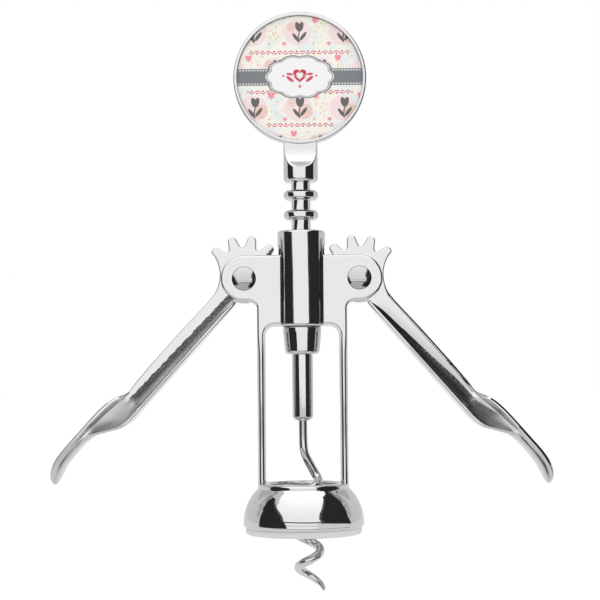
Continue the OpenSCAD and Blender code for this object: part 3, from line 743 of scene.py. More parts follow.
# %% Fill in between the stations
def stations(table, apart):
    """Rows of numbers, keyed by the first, as a smooth run of rows about so far apart."""
    out = []
    for i in range(len(table) - 1):
        before, a = table[max(i - 1, 0)], table[i]
        b, after = table[i + 1], table[min(i + 2, len(table) - 1)]
        count = max(2, round((b[0] - a[0]) / apart))
        for k in range(count):
            t = k / count
            row = []
            for j in range(len(a)):
                span = b[0] - a[0]
                ma = (b[j] - before[j]) / max(b[0] - before[0], 1e-6) * span
                mb = (after[j] - a[j]) / max(after[0] - a[0], 1e-6) * span
                row.append((2 * t ** 3 - 3 * t ** 2 + 1) * a[j] + (t ** 3 - 2 * t ** 2 + t) * ma
                           + (3 * t ** 2 - 2 * t ** 3) * b[j] + (t ** 3 - t ** 2) * mb)
            out.append(row)
    return out + [list(table[-1])]


# %% Draw one section of the flange
INNER_BAND, OUTER_BAND, INNER_ROUND = 0.95, 1.5, 0.45          # the most that each may be
FACE_LEAN, COVE_BOW, PADDLE_TOP = 0.08, 0.95, 62
BELT_STEPS = ((0.95, 0.02), (0.1, 0.62), (0, 0.85))            # across the outer band's slanted edge


def cove(o0, y0, o1, y1, bow, steps):
    """From a band's edge (o0, y0) down a hollow to its valley (o1, y1), without the first point."""
    out = []
    for k in range(1, steps + 1):
        t = k / steps
        turn = t * math.pi / 2
        o = (1 - math.cos(turn)) * bow + t * (1 - bow)
        y = math.sin(turn) * bow + t * (1 - bow)
        out.append((o0 + (o1 - o0) * o, y0 + (y1 - y0) * y))
    return out


def flange_section(s, inner, outer, valley, web, deep_in, deep_out, slant):
    """Front half of the section at s, from the inner face to the outer, as (out, depth)."""
    thick, start = outer - inner, inner + FACE_LEAN
    round_in = min(INNER_ROUND, deep_in * 0.3, thick * 0.2)
    band = min(INNER_BAND, (valley - inner) * 0.5)
    rise = min(OUTER_BAND, (outer - valley) * 0.5)
    slant = min(slant, (rise - FACE_LEAN) / 0.97, deep_out * 0.3)
    bow = COVE_BOW if s < PADDLE_TOP else max(0.35, COVE_BOW - (s - PADDLE_TOP) * 0.05)
    points = [(inner, 0), (inner + 0.03, deep_in * 0.4), (start, deep_in - round_in)]
    points += [(start + round_in * (1 - math.cos(a)), deep_in - round_in * (1 - math.sin(a)))
               for a in (math.pi / 8 * k for k in range(1, 5))]
    points += [(inner + band, deep_in + 0.02)]
    points += cove(inner + band, deep_in + 0.02, valley, web, bow, 14)
    far_side = cove(outer - rise, deep_out, valley, web, bow * 0.8, 10)[:-1]
    points += reversed([(outer - rise, deep_out)] + far_side)
    points += [(outer - FACE_LEAN - slant * a, deep_out - slant * b) for a, b in BELT_STEPS]
    points += [(outer, 0)]
    return points


def lever_sections():
    """All sections of the flange and paddle, about the pivot with the arm straight down."""
    out = []
    for row in stations(STATIONS, 0.8):
        front, back = flange_section(*row, slant=0.7), flange_section(*row, slant=0.35)
        section = front + [(o, -y) for o, y in reversed(back[1:-1])]
        out.append([(o, -y, -row[0]) for o, y in section])
    return out


sections = lever_sections()
print("flange", len(sections), "sections of", len(sections[0]), "points")

# %% [markdown]
# ## The levers: polished where the belt reaches
# Their grey is partly that cast skin and partly painted shade, which differs from face to face as the light
# falls; the dish and, on one face, the plate beside the line get painted shade too.
# A polishing belt takes the flat faces and the bands, and leaves the hollow as it was cast: grey, grainy
# and dull under its plating. The edge between the two wanders, because it is made by hand.
# Both levers are the same casting turned over, so the front of one is the back of the other.
# The hollow is found from where a point lies on the lever, down the arm and out from it.

# %% Find where a point lies on a lever
REST_SWING = math.radians(42)                                  # from straight down to how a lever hangs
PLAY = math.radians(0.85)                                      # the right lever hangs this much nearer in


def place_on_lever(tree, mm):
    """How far a place lies out from the arm's line, down from the pivot and from the middle plane,
    and which face of the casting it is on."""
    parts = node(tree, "SeparateXYZ", i0=mm)
    x, y, z = (Sum(tree, parts.outputs[k]) for k in range(3))
    across, up = x.size() - pivot.x, z - pivot.z
    c, d = math.cos(REST_SWING), math.sin(REST_SWING)
    out, down = across * c + up * d, across * d - up * c
    play = x.rise(-0.5, 0.5) * PLAY
    turned_over = (x * y).rise(-0.5, 0.5)                      # 1 in front on the left, behind on the right
    return out + down * play, down - out * play, y.size(), turned_over


# %% Mask the hollows and the painted shade
WANDER = 1.6                                                   # how far the belt's edge strays


def build_hollow_and_shade_mask():
    """Where a lever was left as cast, and how dark its colour is painted there, part cast grey and part
    painted shade; both can pass 1 a little.
    """
    tree, given, result = node_group("lever_hollow_and_shade", [("Vector", None)],
                                     [("Rough", "NodeSocketFloat"), ("Grey And Shade", "NodeSocketFloat")])
    mm = in_mm(tree, given.outputs["Vector"])
    out, down, depth, turned_over = place_on_lever(tree, mm)
    straight = turned_over * -1 + 1
    off_inner_face = out.rise(-2.6, -2.4)
    on_face = off_inner_face * depth.rise(1.9, 1.95)

    # Arm: the belt polished everything outside of a line that slants down it
    noise = node(tree, "TexNoise", {"Scale": 0.55, "Detail": 3.0, "Roughness": 0.6}, Vector=mm)
    strayed = out + (Sum(tree, noise.outputs[0]) - 0.5) * WANDER
    edge = turned_over * (down * -0.035 + 1.98) + down * 0.07 - 1.8
    edge = edge - (down * -0.08 + 2.96).most(0) * straight     # the belt came closer near the gear
    arm = (edge - strayed).rise(-0.12, 0.12) * (down * -1 + out * 0.5).rise(-57, -51)
    # Painted shade: on the turned-over face the colour grows lighter towards the inner band, and past 1 it
    # is darker still, as light falls on that face
    shade_fade = ((edge - out) * -1).rise(-3.0, -1.6).most(straight) * (turned_over * 0.1 + 1)
    # On the other face the plate beside the line gets painted shade, a flat grey over the plating
    face_shade = (edge - out).rise(-5, 0) * straight * down.rise(9, 13) * (down * -1).rise(-53, -49) * 0.36
    face_shade = face_shade * off_inner_face * depth.rise(1.2, 1.4)

    # Dish at the elbow: as cast up to the outer band, which slants until the paddle
    outer_line = (down * 0.3 - 11.9).least(6.85)
    dish = down.rise(51, 55) * (depth * -1).rise(-6.9, -6.2) * (outer_line - out).rise(1.2, 1.5)
    # Painted shadow in the dish, nearly left off the turned-over face, where more light falls
    shadow = (outer_line - out).rise(2.3, 3.0) * (down * -1).rise(-68, -60) * (turned_over * -0.95 + 1)

    # Paddle: dull by its bands, and more so in the groove
    off_rim = (out * -1).rise(-5.8, -5.4).most(turned_over)
    paddle = down.rise(60, 68) * depth.rise(5.5, 6) * off_rim * 0.7
    groove = down.rise(72, 78) * depth.rise(2.0, 2.5) * off_rim * 1.2

    rough = (arm.most(dish) * on_face).most(paddle.most(groove))
    # The darkness mixes the cast grey with the painted shade of the fade, the dish's shadow and the shaded
    # face
    dark = ((arm * shade_fade).most(dish * shadow) * on_face).most(face_shade)
    tree.links.new(rough.socket, result.inputs["Rough"])
    tree.links.new(dark.socket, result.inputs["Grey And Shade"])
    return tree


HOLLOW_AND_SHADE_MASK = build_hollow_and_shade_mask()
print("group", HOLLOW_AND_SHADE_MASK.name, "with", len(HOLLOW_AND_SHADE_MASK.nodes), "nodes")

# %% Mix the lever's two finishes
PLATED, CAST_LOW, CAST_HIGH = 0.69, 0.08, 0.25                 # brightness of plating, and of the cast specks, whose grey also carries painted shade


def lever_finish():
    """Chrome that goes over to a dull cast skin in the hollows, with painted shade in its colour there."""
    material, tree, shader, place = new_material("lever_chrome")
    shader.inputs["Metallic"].default_value = 1.0
    skin = put_skin(tree, place, {"Wave": 0.2, "Grain": 0.012, "Smooth": 0.045})
    hollow = tree.nodes.new("ShaderNodeGroup")
    hollow.node_tree = HOLLOW_AND_SHADE_MASK
    tree.links.new(place, hollow.inputs["Vector"])
    noise = node(tree, "TexNoise", {"Scale": 2.6, "Detail": 4.0, "Roughness": 0.7},
                 Vector=in_mm(tree, place))
    speck = Sum(tree, noise.outputs[0])
    rough, dark = (Sum(tree, hollow.outputs[k]) for k in range(2))
    emboss(tree, shader, (Sum(tree, skin.outputs["Height"]) + rough * speck * 0.5).socket)
    tree.links.new((Sum(tree, skin.outputs["Roughness"]) + rough * 0.3).socket, shader.inputs["Roughness"])
    grey = node(tree, "MapRange", {1: 0.36, 2: 0.64, 3: CAST_LOW, 4: CAST_HIGH}, Value=speck.socket)
    # The colour runs from plating to grey specks with the mask, so it carries the painted shade; past 1 it
    # is darker still
    shade = Sum(tree, grey.outputs[0]) * dark + (dark * -1 + 1) * PLATED
    joined = node(tree, "CombineColor", i0=shade.socket, i1=shade.socket, i2=shade.socket)
    tree.links.new(joined.outputs[0], shader.inputs["Base Color"])
    return material


lever_chrome = lever_finish()
print("material", lever_chrome.name, "with", len(lever_chrome.node_tree.nodes), "nodes")

# %% [markdown]
# ## The levers: joined and hung
# The belt also ran over the arm's outer edge at a slant, but on one face of the casting only. So the
# plate gets one edge for its front and another for its back. Then plate and flange are joined, bored for
# the rivet, and swung to where the lever hangs. The left lever is the right one turned over, and not its
# mirror image: its front shows the face that the right one hides.

# %% Slant the plate's edges
PLATE_Y = 2.0                                                  # half the plate's thickness
# The belt's slant: inset and half depth, from the plate's side to its face
SLANT = [(0, 0)] + [(0.1 + 0.12 * k, 1.3 + 0.085 * k) for k in range(8)] + [(1.1, PLATE_Y)]


def lever_back(here, normal):
    """A small rounding, as on the teeth."""
    return quarter_edge(0.1, 0.48, 1.5, PLATE_Y)


def lever_front(here, normal):
    """The belt runs over the arm's outer side at a slant, on one face of the casting only."""
    arm = ease(here.x, 3.0, 3.4) * ease(-here.y, 6, 14)
    return between(lever_back(here, normal), SLANT, arm)


# %% Build both levers
LEVER_BORE_R = 2.6


def rivet_hole():
    """A cutter for the rivet's hole."""
    return turned("rivet_hole", [(0, -5), (LEVER_BORE_R, -5), (LEVER_BORE_R, 5), (0, 5)], 64, True)


def swung(piece, side):
    """Swings a lever from straight down to its rest angle; the left one is the right one turned over."""
    a = REST_SWING - (PLAY if side > 0 else 0)
    for vertex in piece.data.vertices:
        x, y, z = vertex.co / MM
        vertex.co = Vector((side * (pivot.x + x * math.cos(a) - z * math.sin(a)), side * y,
                            pivot.z + x * math.sin(a) + z * math.cos(a))) * MM


for side, label in ((-1, "left"), (1, "right")):
    lever = plate(f"lever_{label}_casting", lever_plate, lever_front, lever_back)
    flange = skinned("flange", sections, 25)
    carved(lever, [flange], "UNION")
    carved(lever, [rivet_hole()], "DIFFERENCE")
    tidy_mesh(lever, 32)
    swung(lever, side)
    weigh_normals(lever)
    lever.data.materials.append(lever_chrome)
    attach(lever, f"{label}_lever")
    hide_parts(f"lever_{label}")
    print("lever", label, len(lever.data.polygons), "faces")


# %% [markdown]
# ## The spindle and ferrule
# The rack is a lathe part too, so that the handle can turn while the levers stay in mesh: seven rings
# with bevelled edges on a core, then the guide shoulder that runs in the barrel.
# The steel ferrule below it is a plain tube with a bevelled end, pressed on the wire.

# %% Turn the spindle
low, high = limits("rack_spindle")
RING_R, RING_EDGE_R, CORE_R, RINGS, RING_STEP, LOW_RING = 5.6, 4.75, 3.1, 7, 6.5, 61.67
SHOULDER_R, SPIGOT_R = 6.2, 2.58
collar_z = LOW_RING + (RINGS - 1) * RING_STEP + 4.3
spindle_corners = [(0, low.z, 0), (3.4, low.z - 1.05, 0.2), (5.55, low.z - 0.75, 1.2),
                   (SHOULDER_R, 56.2, 1.0), (SHOULDER_R, 57.5, 0.5), (5.65, 58.9, 0.4),
                   (CORE_R, 58.97, 0.25)]
for k in range(RINGS):
    z = LOW_RING + k * RING_STEP
    spindle_corners += [(CORE_R, z - 1.5, 0.25), (RING_EDGE_R, z - 1.5, 0.3), (RING_R, z - 0.75, 0.3),
                        (RING_R, z + 0.75, 0.3), (RING_EDGE_R, z + 1.5, 0.3), (CORE_R, z + 1.5, 0.25)]
spindle_corners += [(CORE_R, collar_z, 0), (SPIGOT_R, collar_z, 0), (SPIGOT_R, high.z, 0.3), (0, high.z, 0)]
spindle = turned("rack_rings", rounded(spindle_corners, 5), 144)
weigh_normals(spindle)
spindle.data.materials.append(chrome)
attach(spindle, "spindle")
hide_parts("rack_spindle")
print("spindle", len(spindle.data.polygons), "faces")

# %% Turn the ferrule
low, high = limits("worm_ferrule")
FERRULE_R, FERRULE_BORE_R = 3.38, 1.42
ferrule = turned("wire_ferrule", rounded([
    (FERRULE_BORE_R, low.z + 0.2, 0), (FERRULE_BORE_R, low.z, 0.1), (2.55, low.z, 0.3),
    (FERRULE_R, low.z + 1.1, 0.4), (FERRULE_R, high.z, 0.3), (FERRULE_BORE_R, high.z, 0)], 5), 96)
weigh_normals(ferrule)
ferrule.data.materials.append(chrome)
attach(ferrule, "spindle")
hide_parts("worm_ferrule")
print("ferrule", len(ferrule.data.polygons), "faces")

# %% [markdown]
# ## The worm
# The worm is one steel wire: straight down from the ferrule, a bend out, then three open turns round
# an empty middle, and a ground point. A sweep makes it: a path, a circle of points round each place on
# it, and a radius that shrinks only over the last part of a turn.

# %% Lay the wire's path
WIRE_R, HELIX_R, PITCH, TURNS, TURN_STEPS = 1.45, 3.65, 11.0, 3, 40
SHANK_TOP, SHANK_STEPS, BEND_TOP, BEND_STEPS = 42.0, 25, 17.37, 24
# The bend swings out past the turns' own radius and comes back, and the whole worm leans a little
BEND_H, BEND_TURN, BEND_OUT, LEAN = 9.7, 25.0, 1.5, 2.8
POINT_DROP, POINT_OUT, POINT_STEPS, POINT_THIN = 1.64, 0.4, 16, 0.3


def on_wire(angle, drop, away):
    """A place at an angle round the wire's own leaning middle."""
    a = math.radians(angle)
    return Vector((away * math.cos(a) + drop * math.tan(math.radians(LEAN)), away * math.sin(a),
                   BEND_TOP - drop))


def wire_path():
    """Points down the wire and the radius at each."""
    out = [(Vector((0, 0, SHANK_TOP - k)), WIRE_R) for k in range(SHANK_STEPS)]
    for k in range(BEND_STEPS):
        u = k / BEND_STEPS
        angle = BEND_TURN * (1 - u ** (360 * BEND_H / PITCH / BEND_TURN))
        out.append((on_wire(angle, BEND_H * u, (HELIX_R + BEND_OUT) * u), WIRE_R))
    count = TURNS * TURN_STEPS
    for k in range(count + 1):
        angle = 360 * k / TURN_STEPS
        late = max(0, angle - 360 * TURNS + 180) / 180
        early = max(0, 1 - angle / 100)
        left = (count - k) / POINT_STEPS
        thin = POINT_THIN + (1 - POINT_THIN) * math.sqrt(left) if left < 1 else 1
        out.append((on_wire(-angle, BEND_H + PITCH * angle / 360 + POINT_DROP * late * late,
                            HELIX_R + POINT_OUT * late ** 3 + BEND_OUT * early ** 2), WIRE_R * thin))
    return out


def eased(path, first, last, passes):
    """The same path with the stretch between two places smoothed."""
    points = [p for p, r in path]
    for _ in range(passes):
        points = [(points[k - 1] + 2 * p + points[k + 1]) / 4 if first < k < last else p
                  for k, p in enumerate(points)]
    return [(p, r) for p, (_, r) in zip(points, path)]


wire = eased(wire_path(), first=10, last=60, passes=16)
print("wire path", len(wire), "points")

# %% Sweep the wire
def swept(name, path, sides=24):
    """A tube along a path, without twist, with a rounded far end."""
    sections, side = [], Vector((1, 0, 0))
    for k, (here, r) in enumerate(path):
        ahead = (path[min(k + 1, len(path) - 1)][0] - path[max(k - 1, 0)][0]).normalized()
        side = (side - ahead * side.dot(ahead)).normalized()
        up = ahead.cross(side)
        ring = [here + r * (math.cos(math.tau * j / sides) * side + math.sin(math.tau * j / sides) * up)
                for j in range(sides)]
        sections.append(ring)
        if k == len(path) - 1:
            for grow in (0.35, 0.7, 0.95):
                shrink = math.sqrt(1 - grow * grow)
                sections.append([here + (p - here) * shrink + ahead * r * grow for p in ring])
    return skinned(name, sections, 50)


worm = swept("worm_wire", wire)
worm.data.materials.append(chrome)
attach(worm, "spindle")
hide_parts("worm")
print("worm", len(worm.data.polygons), "faces")

# %% [markdown]
# ## The handle
# The medallion and its neck are one casting. The medallion is turned about the front-to-back axis, with
# a rim that stands round a recess for the print. The neck begins as a round collar and is milled flat
# in front and behind; where the cutter leaves the collar, it leaves a run-out with its own radius.
# The neck is a loft of sections that are circles with their front and back cut off.

# %% Turn the medallion
low, high = limits("handle_casting")
medal_r = high.x
medal_z = high.z - medal_r
RIM, RECESS_Y, HALF_T = 1.2, 0.8, 2.5
recess_r = medal_r - RIM
medal = turned("medal", rounded([
    (0, RECESS_Y, 0), (recess_r, RECESS_Y, 0.0), (recess_r, HALF_T - 0.02, 0.25),
    (medal_r, HALF_T, 0.8), (medal_r, -HALF_T, 0.9), (0, -HALF_T, 0)], 7), 216, True, (0, 0, medal_z))
print("medallion radius", round(medal_r, 2), "at height", round(medal_z, 2))

# %% Loft the neck
NECK_R, NECK_FLAT, NECK_SOFT, NECK_POINTS = RING_R, 2.1, 0.3, 96
RUNOUT_LOW, RUNOUT_R, RUNOUT_STEPS = collar_z + 4.6, 8.0, 32
RUNOUT_H = math.sqrt(RUNOUT_R ** 2 - (RUNOUT_R - NECK_R + NECK_FLAT) ** 2)


def neck_section(z, r, flat):
    """A circle cut off in front and behind, with its corners eased."""
    out = []
    for k in range(NECK_POINTS):
        a = math.tau * k / NECK_POINTS
        x, y = r * math.cos(a), r * math.sin(a)
        if abs(y) > flat - NECK_SOFT:
            over = (abs(y) - flat + NECK_SOFT) / NECK_SOFT
            y = math.copysign(flat - NECK_SOFT + NECK_SOFT * math.tanh(over), y)
        out.append((x, y, z))
    return out


# Height, radius and half thickness: the collar's rounding, the run-out, and the flat neck
neck_rows = [(collar_z, NECK_R - 0.7, NECK_R), (collar_z + 0.35, NECK_R - 0.3, NECK_R),
             (collar_z + 0.75, NECK_R - 0.03, NECK_R), (collar_z + 1.2, NECK_R, NECK_R + 1)]
for k in range(RUNOUT_STEPS + 1):
    left = RUNOUT_H * (1 - k / RUNOUT_STEPS)
    neck_rows.append((RUNOUT_LOW + RUNOUT_H - left, NECK_R,
                      NECK_FLAT + RUNOUT_R - math.sqrt(RUNOUT_R ** 2 - left ** 2)))
neck_rows += [(z, NECK_R, NECK_FLAT) for z in (RUNOUT_LOW + RUNOUT_H + 0.3, medal_z - medal_r + 1.0)]
neck = skinned("neck", [neck_section(z, r, flat) for z, r, flat in neck_rows], 32)
print("neck", len(neck_rows), "sections, run-out", round(RUNOUT_H, 2), "mm high")

# %% Join the handle and bore its socket
SOCKET_R, SOCKET_DEPTH = 2.62, 5.02
socket = turned("socket", [(0, collar_z - 1), (SOCKET_R, collar_z - 1), (SOCKET_R, collar_z + SOCKET_DEPTH),
                           (0, collar_z + SOCKET_DEPTH)], 64)
handle = carved(carved(medal, [neck], "UNION"), [socket], "DIFFERENCE")
handle.name = "handle_body"
weigh_normals(handle)
handle.data.materials.append(chrome)
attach(handle, "spindle")
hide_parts("handle_casting")
print("handle", len(handle.data.polygons), "faces")

# %% [markdown]
# ## The print, and the small hidden pieces
# The recess holds a thin printed disc on an adhesive pad. The guide bush lines the top of the barrel.
# The bush and the pad are right as the solids have them, so they stay and only get a finish.

# %% Place the print
low, high = limits("print_disc")
print_disc = turned("print_sheet", rounded([
    (0, -high.y, 0), (high.x, -high.y, 0), (high.x, -low.y, 0.12), (0, -low.y, 0)], 4),
    180, True, (0, 0, medal_z))
weigh_normals(print_disc)
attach(print_disc, "spindle")
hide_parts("print_disc")
print("print disc", len(print_disc.data.polygons), "faces")

# %% Finish the hidden pieces
bush_plastic = plastic("bush_plastic", (0.75, 0.74, 0.70), (0.68, 0.67, 0.63), roughness=0.4)
pad_glue = plastic("pad_adhesive", (0.72, 0.70, 0.64), (0.62, 0.60, 0.54), roughness=0.6, grain=0.4)
for name, finish in (("guide_bush", bush_plastic), ("adhesive_pad", pad_glue)):
    solid = frame["nodes"][name]
    solid.data.materials.clear()
    solid.data.materials.append(finish)
print("finished", bush_plastic.name, pad_glue.name)

# %% [markdown]
# ## The printed sheet
# The sheet is a flat print of small flowers and hearts on cream, crossed by a grey ribbon that carries a
# scalloped plaque. A print like this could be a picture file; here it is drawn by arithmetic instead, so
# it stays sharp and needs no file. Every motif is a mask: the distance to a circle, an ellipse or a heart,
# cut off softly. One flower is drawn in a cell, and folding the coordinates repeats it over the sheet.

# %% Draw masks with arithmetic
def under(value, limit, soft=0.07):
    """1 where a value is below a limit, with a soft edge."""
    return (value * -1).rise(-limit - soft, -limit + soft)


def away_from(u, v, cu, cv, wide=1.0, tall=1.0, turn=0.0):
    """Distance from a place, measured in the half widths of a turned ellipse."""
    c, d = math.cos(math.radians(turn)), math.sin(math.radians(turn))
    a, b = u - cu, v - cv
    along, across = (a * c + b * d) * (1 / wide), (b * c - a * d) * (1 / tall)
    return (along * along + across * across).do("SQRT")


def heart(u, v, cu, cv, size):
    """A heart's mask, from the curve (x2 + y2 - 1)3 = x2 y3."""
    a, b = (u - cu) * (1 / size), (v - cv) * (1 / size)
    inner = a * a + b * b - 1
    return under(inner * inner * inner - a * a * b * b * b, 0.0, 0.12 / size)


# %% Mix the inks
INK_DIM = 0.86                                                 # what ink gives back of its colour
CREAM, MIST, BLUSH, PEACH, SAND, STEM = "F3F0E6", "E4ECEC", "F3DCDD", "EBC9BD", "EBCB9A", "5F5E58"
PINK, AMBER, CHERRY, RED = "F58E9B", "E3B57C", "D2435F", "C91F3D"
RIBBON, OFF_WHITE, PLAQUE, PLAQUE_LINE = "777B7D", "F2F1F2", "E9E9E9", "8A8D8F"


def srgb(code):
    """A linear colour from its six-digit code, dimmed a little, as ink is."""
    parts = [int(code[k:k + 2], 16) / 255 for k in (0, 2, 4)]
    return tuple(INK_DIM * (c / 12.92 if c < 0.04 else ((c + 0.055) / 1.055) ** 2.4) for c in parts)


def laid_over(tree, under_it, code, mask):
    """One ink printed over the colours so far, or over the cream sheet."""
    made = tree.nodes.new("ShaderNodeMix")
    made.data_type = "RGBA"
    made.inputs["A"].default_value = (*srgb(CREAM), 1)
    made.inputs["B"].default_value = (*srgb(code), 1)
    if under_it:
        tree.links.new(under_it, made.inputs["A"])
    tree.links.new(mask.socket, made.inputs["Factor"])
    return made.outputs["Result"]


print("cream is", tuple(round(c, 3) for c in srgb(CREAM)), "in linear light")

# %% Fold the sheet into cells
CELL_W, CELL_H, CELL_SHIFT = 14.6, 12.4, 3.4


def folded(tree, u, v):
    """A place in its own cell, and a random number for that cell; each row is half a cell along."""
    rows = (v + CELL_SHIFT) * (1 / CELL_H)
    row = rows.do("FLOOR")
    columns = (u + row * (CELL_W / 2)) * (1 / CELL_W)
    column = columns.do("FLOOR")
    dice = node(tree, "TexWhiteNoise", {"noise_dimensions": "2D"})
    spot = node(tree, "CombineXYZ", i0=column.socket, i1=row.socket)
    tree.links.new(spot.outputs[0], dice.inputs["Vector"])
    p, q = (columns - column - 0.5) * CELL_W, (rows - row - 0.5) * CELL_H
    return p, q, Sum(tree, dice.outputs["Value"])


# %% Print the ground and its patches
def printed_ground(tree, mm, p, q, chance):
    """Pale patches on cream, some left out by chance, and fields of small dots."""
    cloud = node(tree, "TexNoise", {"Scale": 0.16, "Detail": 2.0}, Vector=mm)
    colour = laid_over(tree, None, MIST, Sum(tree, cloud.outputs[0]).rise(0.52, 0.64))
    colour = laid_over(tree, colour, BLUSH, under(away_from(p, q, -0.6, -0.3, 4.5, 4.2), 1, 0.05))
    large, small = away_from(p, q, 1.7, -1.4, 2.4, 2.4), away_from(p, q, -2.6, 1.6, 1.5, 1.5)
    colour = laid_over(tree, colour, PEACH, under(large, 1, 0.05) * chance.rise(0.4, 0.45))
    colour = laid_over(tree, colour, PEACH, under(small, 1, 0.06) * under(chance, 0.5))
    dots = Sum(tree, node(tree, "TexVoronoi", {"Scale": 0.95}, Vector=mm).outputs["Distance"])
    field = away_from(p, q, 6.6, 0, 2.9, 3.6).least(away_from(p, q, -8.0, 0, 2.9, 3.6))
    return laid_over(tree, colour, SAND, under(dots, 0.3, 0.06) * under(field, 1, 0.4))


# %% Print the flowers
def printed_flowers(tree, colour, p, q):
    """One flower with its leaves, two hearts and two dots, in every cell."""
    stem = under((p - (q * 0.7).do("SINE") * 0.35).size(), 0.2) * under((q + 1.2).size(), 2.4)
    leaves = [under(away_from(p, q, side, low, 1.8, 0.55, turn), 1, 0.1)
              for side, low, turn in ((1.15, -1.5, 52), (-1.15, -1.9, 128))]
    petals = [under(away_from(p, q, *petal), 1, 0.08)
              for petal in ((0.55, 1.7, 0.75, 1.6, -14), (-0.55, 1.7, 0.75, 1.6, 14), (0, 1.5, 0.7, 1.3))]
    flower = stem
    for mask in leaves + petals:
        flower = flower.most(mask)
    colour = laid_over(tree, colour, STEM, flower)
    colour = laid_over(tree, colour, PINK, heart(p, q, 5.2, 3.6, 0.95).most(heart(p, q, -5.0, -4.0, 0.6)))
    dots = [under(away_from(p, q, a, b, r, r), 1, 0.2) for a, b, r in ((4.6, -3.9, 0.35), (-4.9, 4.3, 0.3))]
    return laid_over(tree, colour, AMBER, dots[0].most(dots[1]))


# %% Print the vines
VINES = ((8.4, 16.6), (-4.6, 17.4), (-15.4, 11.0))             # height and half length
BERRY_STEP = 1.85


def printed_vines(tree, colour, u, v):
    """Three wavy lines with a berry on each bend."""
    for height, half_length in VINES:
        swing = (u * 1.7).do("SINE") * 0.45
        vine = under((v - height - swing).size(), 0.16, 0.1)
        along = (u * (1 / BERRY_STEP)).do("FRACT") * BERRY_STEP - 0.92
        berry = under(away_from(along, v - height + swing * 0.8, 0, 0, 0.34, 0.3), 1, 0.2)
        colour = laid_over(tree, colour, CHERRY, vine.most(berry) * under(u.size(), half_length, 0.3))
    return colour


# %% Print the ribbon and its plaque
RIBBON_V, RIBBON_HALF, STITCH_STEP = 0.35, 2.75, 0.95
PLAQUE_V, PLAQUE_A, PLAQUE_B, SCALLOP = 0.4, 10.8, 6.7, 0.09
PLAQUE_RINGS = ((RIBBON, 1.0), (PLAQUE, 0.945), (PLAQUE_LINE, 0.915), (OFF_WHITE, 0.885))


def printed_ribbon(tree, colour, u, v):
    """A band across the sheet with a row of stitches along each edge."""
    colour = laid_over(tree, colour, RIBBON, under((v - RIBBON_V).size(), RIBBON_HALF, 0.06))
    dash = under(((u * (1 / STITCH_STEP)).do("FRACT") - 0.5).size(), 0.27, 0.08)
    row = under(((v - RIBBON_V).size() - 2.2).size(), 0.17, 0.06)
    return laid_over(tree, colour, OFF_WHITE, dash * row)


def printed_plaque(tree, colour, u, v):
    """A scalloped oval in four rings, with a heart between leaves and buds."""
    a, b = u * (1 / PLAQUE_A), (v - PLAQUE_V) * (1 / PLAQUE_B)
    round_it = (b.do("ARCTAN2", a) * 5).do("COSINE").size()
    reach = (a * a + b * b).do("SQRT") - round_it * SCALLOP
    for code, limit in PLAQUE_RINGS:
        colour = laid_over(tree, colour, code, under(reach, limit, 0.012))
    side = u.size()
    leaf = away_from(side, v, 3.2, -0.3, 1.5, 0.55, 38).least(away_from(side, v, 3.3, 1.3, 1.1, 0.42, 8))
    bud = away_from(side, v, 5.4, 0.75, 0.36, 0.36).least(away_from(u, v, 0, -2.75, 0.4, 0.5))
    colour = laid_over(tree, colour, CHERRY, under(leaf.least(bud), 1, 0.15))
    colour = laid_over(tree, colour, RED, heart(u, v, 0, 0.5, 1.9))
    return laid_over(tree, colour, OFF_WHITE, heart(u, v, 0, 0.6, 1.0))


# %% Print the sheet
def build_print():
    """The sheet's colours, in millimetres from the medallion's middle."""
    tree, given, result = node_group("printed_flowers", [("Vector", None)], [("Color", "NodeSocketColor")])
    mm = in_mm(tree, given.outputs["Vector"])
    parts = node(tree, "SeparateXYZ", i0=mm)
    u, v = Sum(tree, parts.outputs[0]), Sum(tree, parts.outputs[2]) - medal_z
    p, q, chance = folded(tree, u, v)
    colour = printed_ground(tree, mm, p, q, chance)
    colour = printed_flowers(tree, colour, p, q)
    colour = printed_vines(tree, colour, u, v)
    colour = printed_ribbon(tree, colour, u, v)
    colour = printed_plaque(tree, colour, u, v)
    tree.links.new(colour, result.inputs["Color"])
    return tree


print_ink = plastic("print_ink", (0.80, 0.77, 0.70), (0.78, 0.75, 0.68), roughness=0.42, grain=0.02)
sheet_tree = print_ink.node_tree
motifs = sheet_tree.nodes.new("ShaderNodeGroup")
motifs.node_tree = build_print()
place = sheet_tree.nodes["Texture Coordinate"].outputs["Object"]
sheet_tree.links.new(place, motifs.inputs["Vector"])
sheet_tree.links.new(motifs.outputs["Color"], sheet_tree.nodes["Principled BSDF"].inputs["Base Color"])
print_disc.data.materials.append(print_ink)
print("print drawn with", len(motifs.node_tree.nodes), "nodes")

# %% [markdown]
# ## The studio
# Chrome is lit by building what it will mirror: a white panel round the camera, a black flag on each
# side of it, and white beyond. Straight stripes down a leg or a lever are those flags' edges.
# Each card here is a patch of a big ball round the object, given by its edges in degrees, so a stripe
# can be moved by one number. The cards hang from the camera, so the same studio goes with it to the
# side and the back. They are seen only in reflections and throw no shadow.

# %% Put up the camera
CAMERA_AWAY = 0.536                                            # metres from the object's middle


def rotation(angle, axis):
    """A rotation matrix from an angle in degrees."""
    return Matrix.Rotation(math.radians(angle), 4, axis)


scene = bpy.context.scene
scene.view_settings.view_transform = "Standard"
lens = bpy.data.cameras.new("lens")
lens.lens, lens.sensor_width = 99, 36
camera = bpy.data.objects.new("camera", lens)
scene.collection.objects.link(camera)
camera.rotation_mode = "QUATERNION"
camera.rotation_quaternion = (rotation(92.54, "X") @ rotation(-0.53, "Z")).to_quaternion()
camera.location = (-0.0006, -CAMERA_AWAY, 0.0428)
scene.camera = camera
print("camera at", tuple(round(v, 3) for v in camera.location))

# %% Make a card
CARD_ACROSS = 24                                               # faces across a card


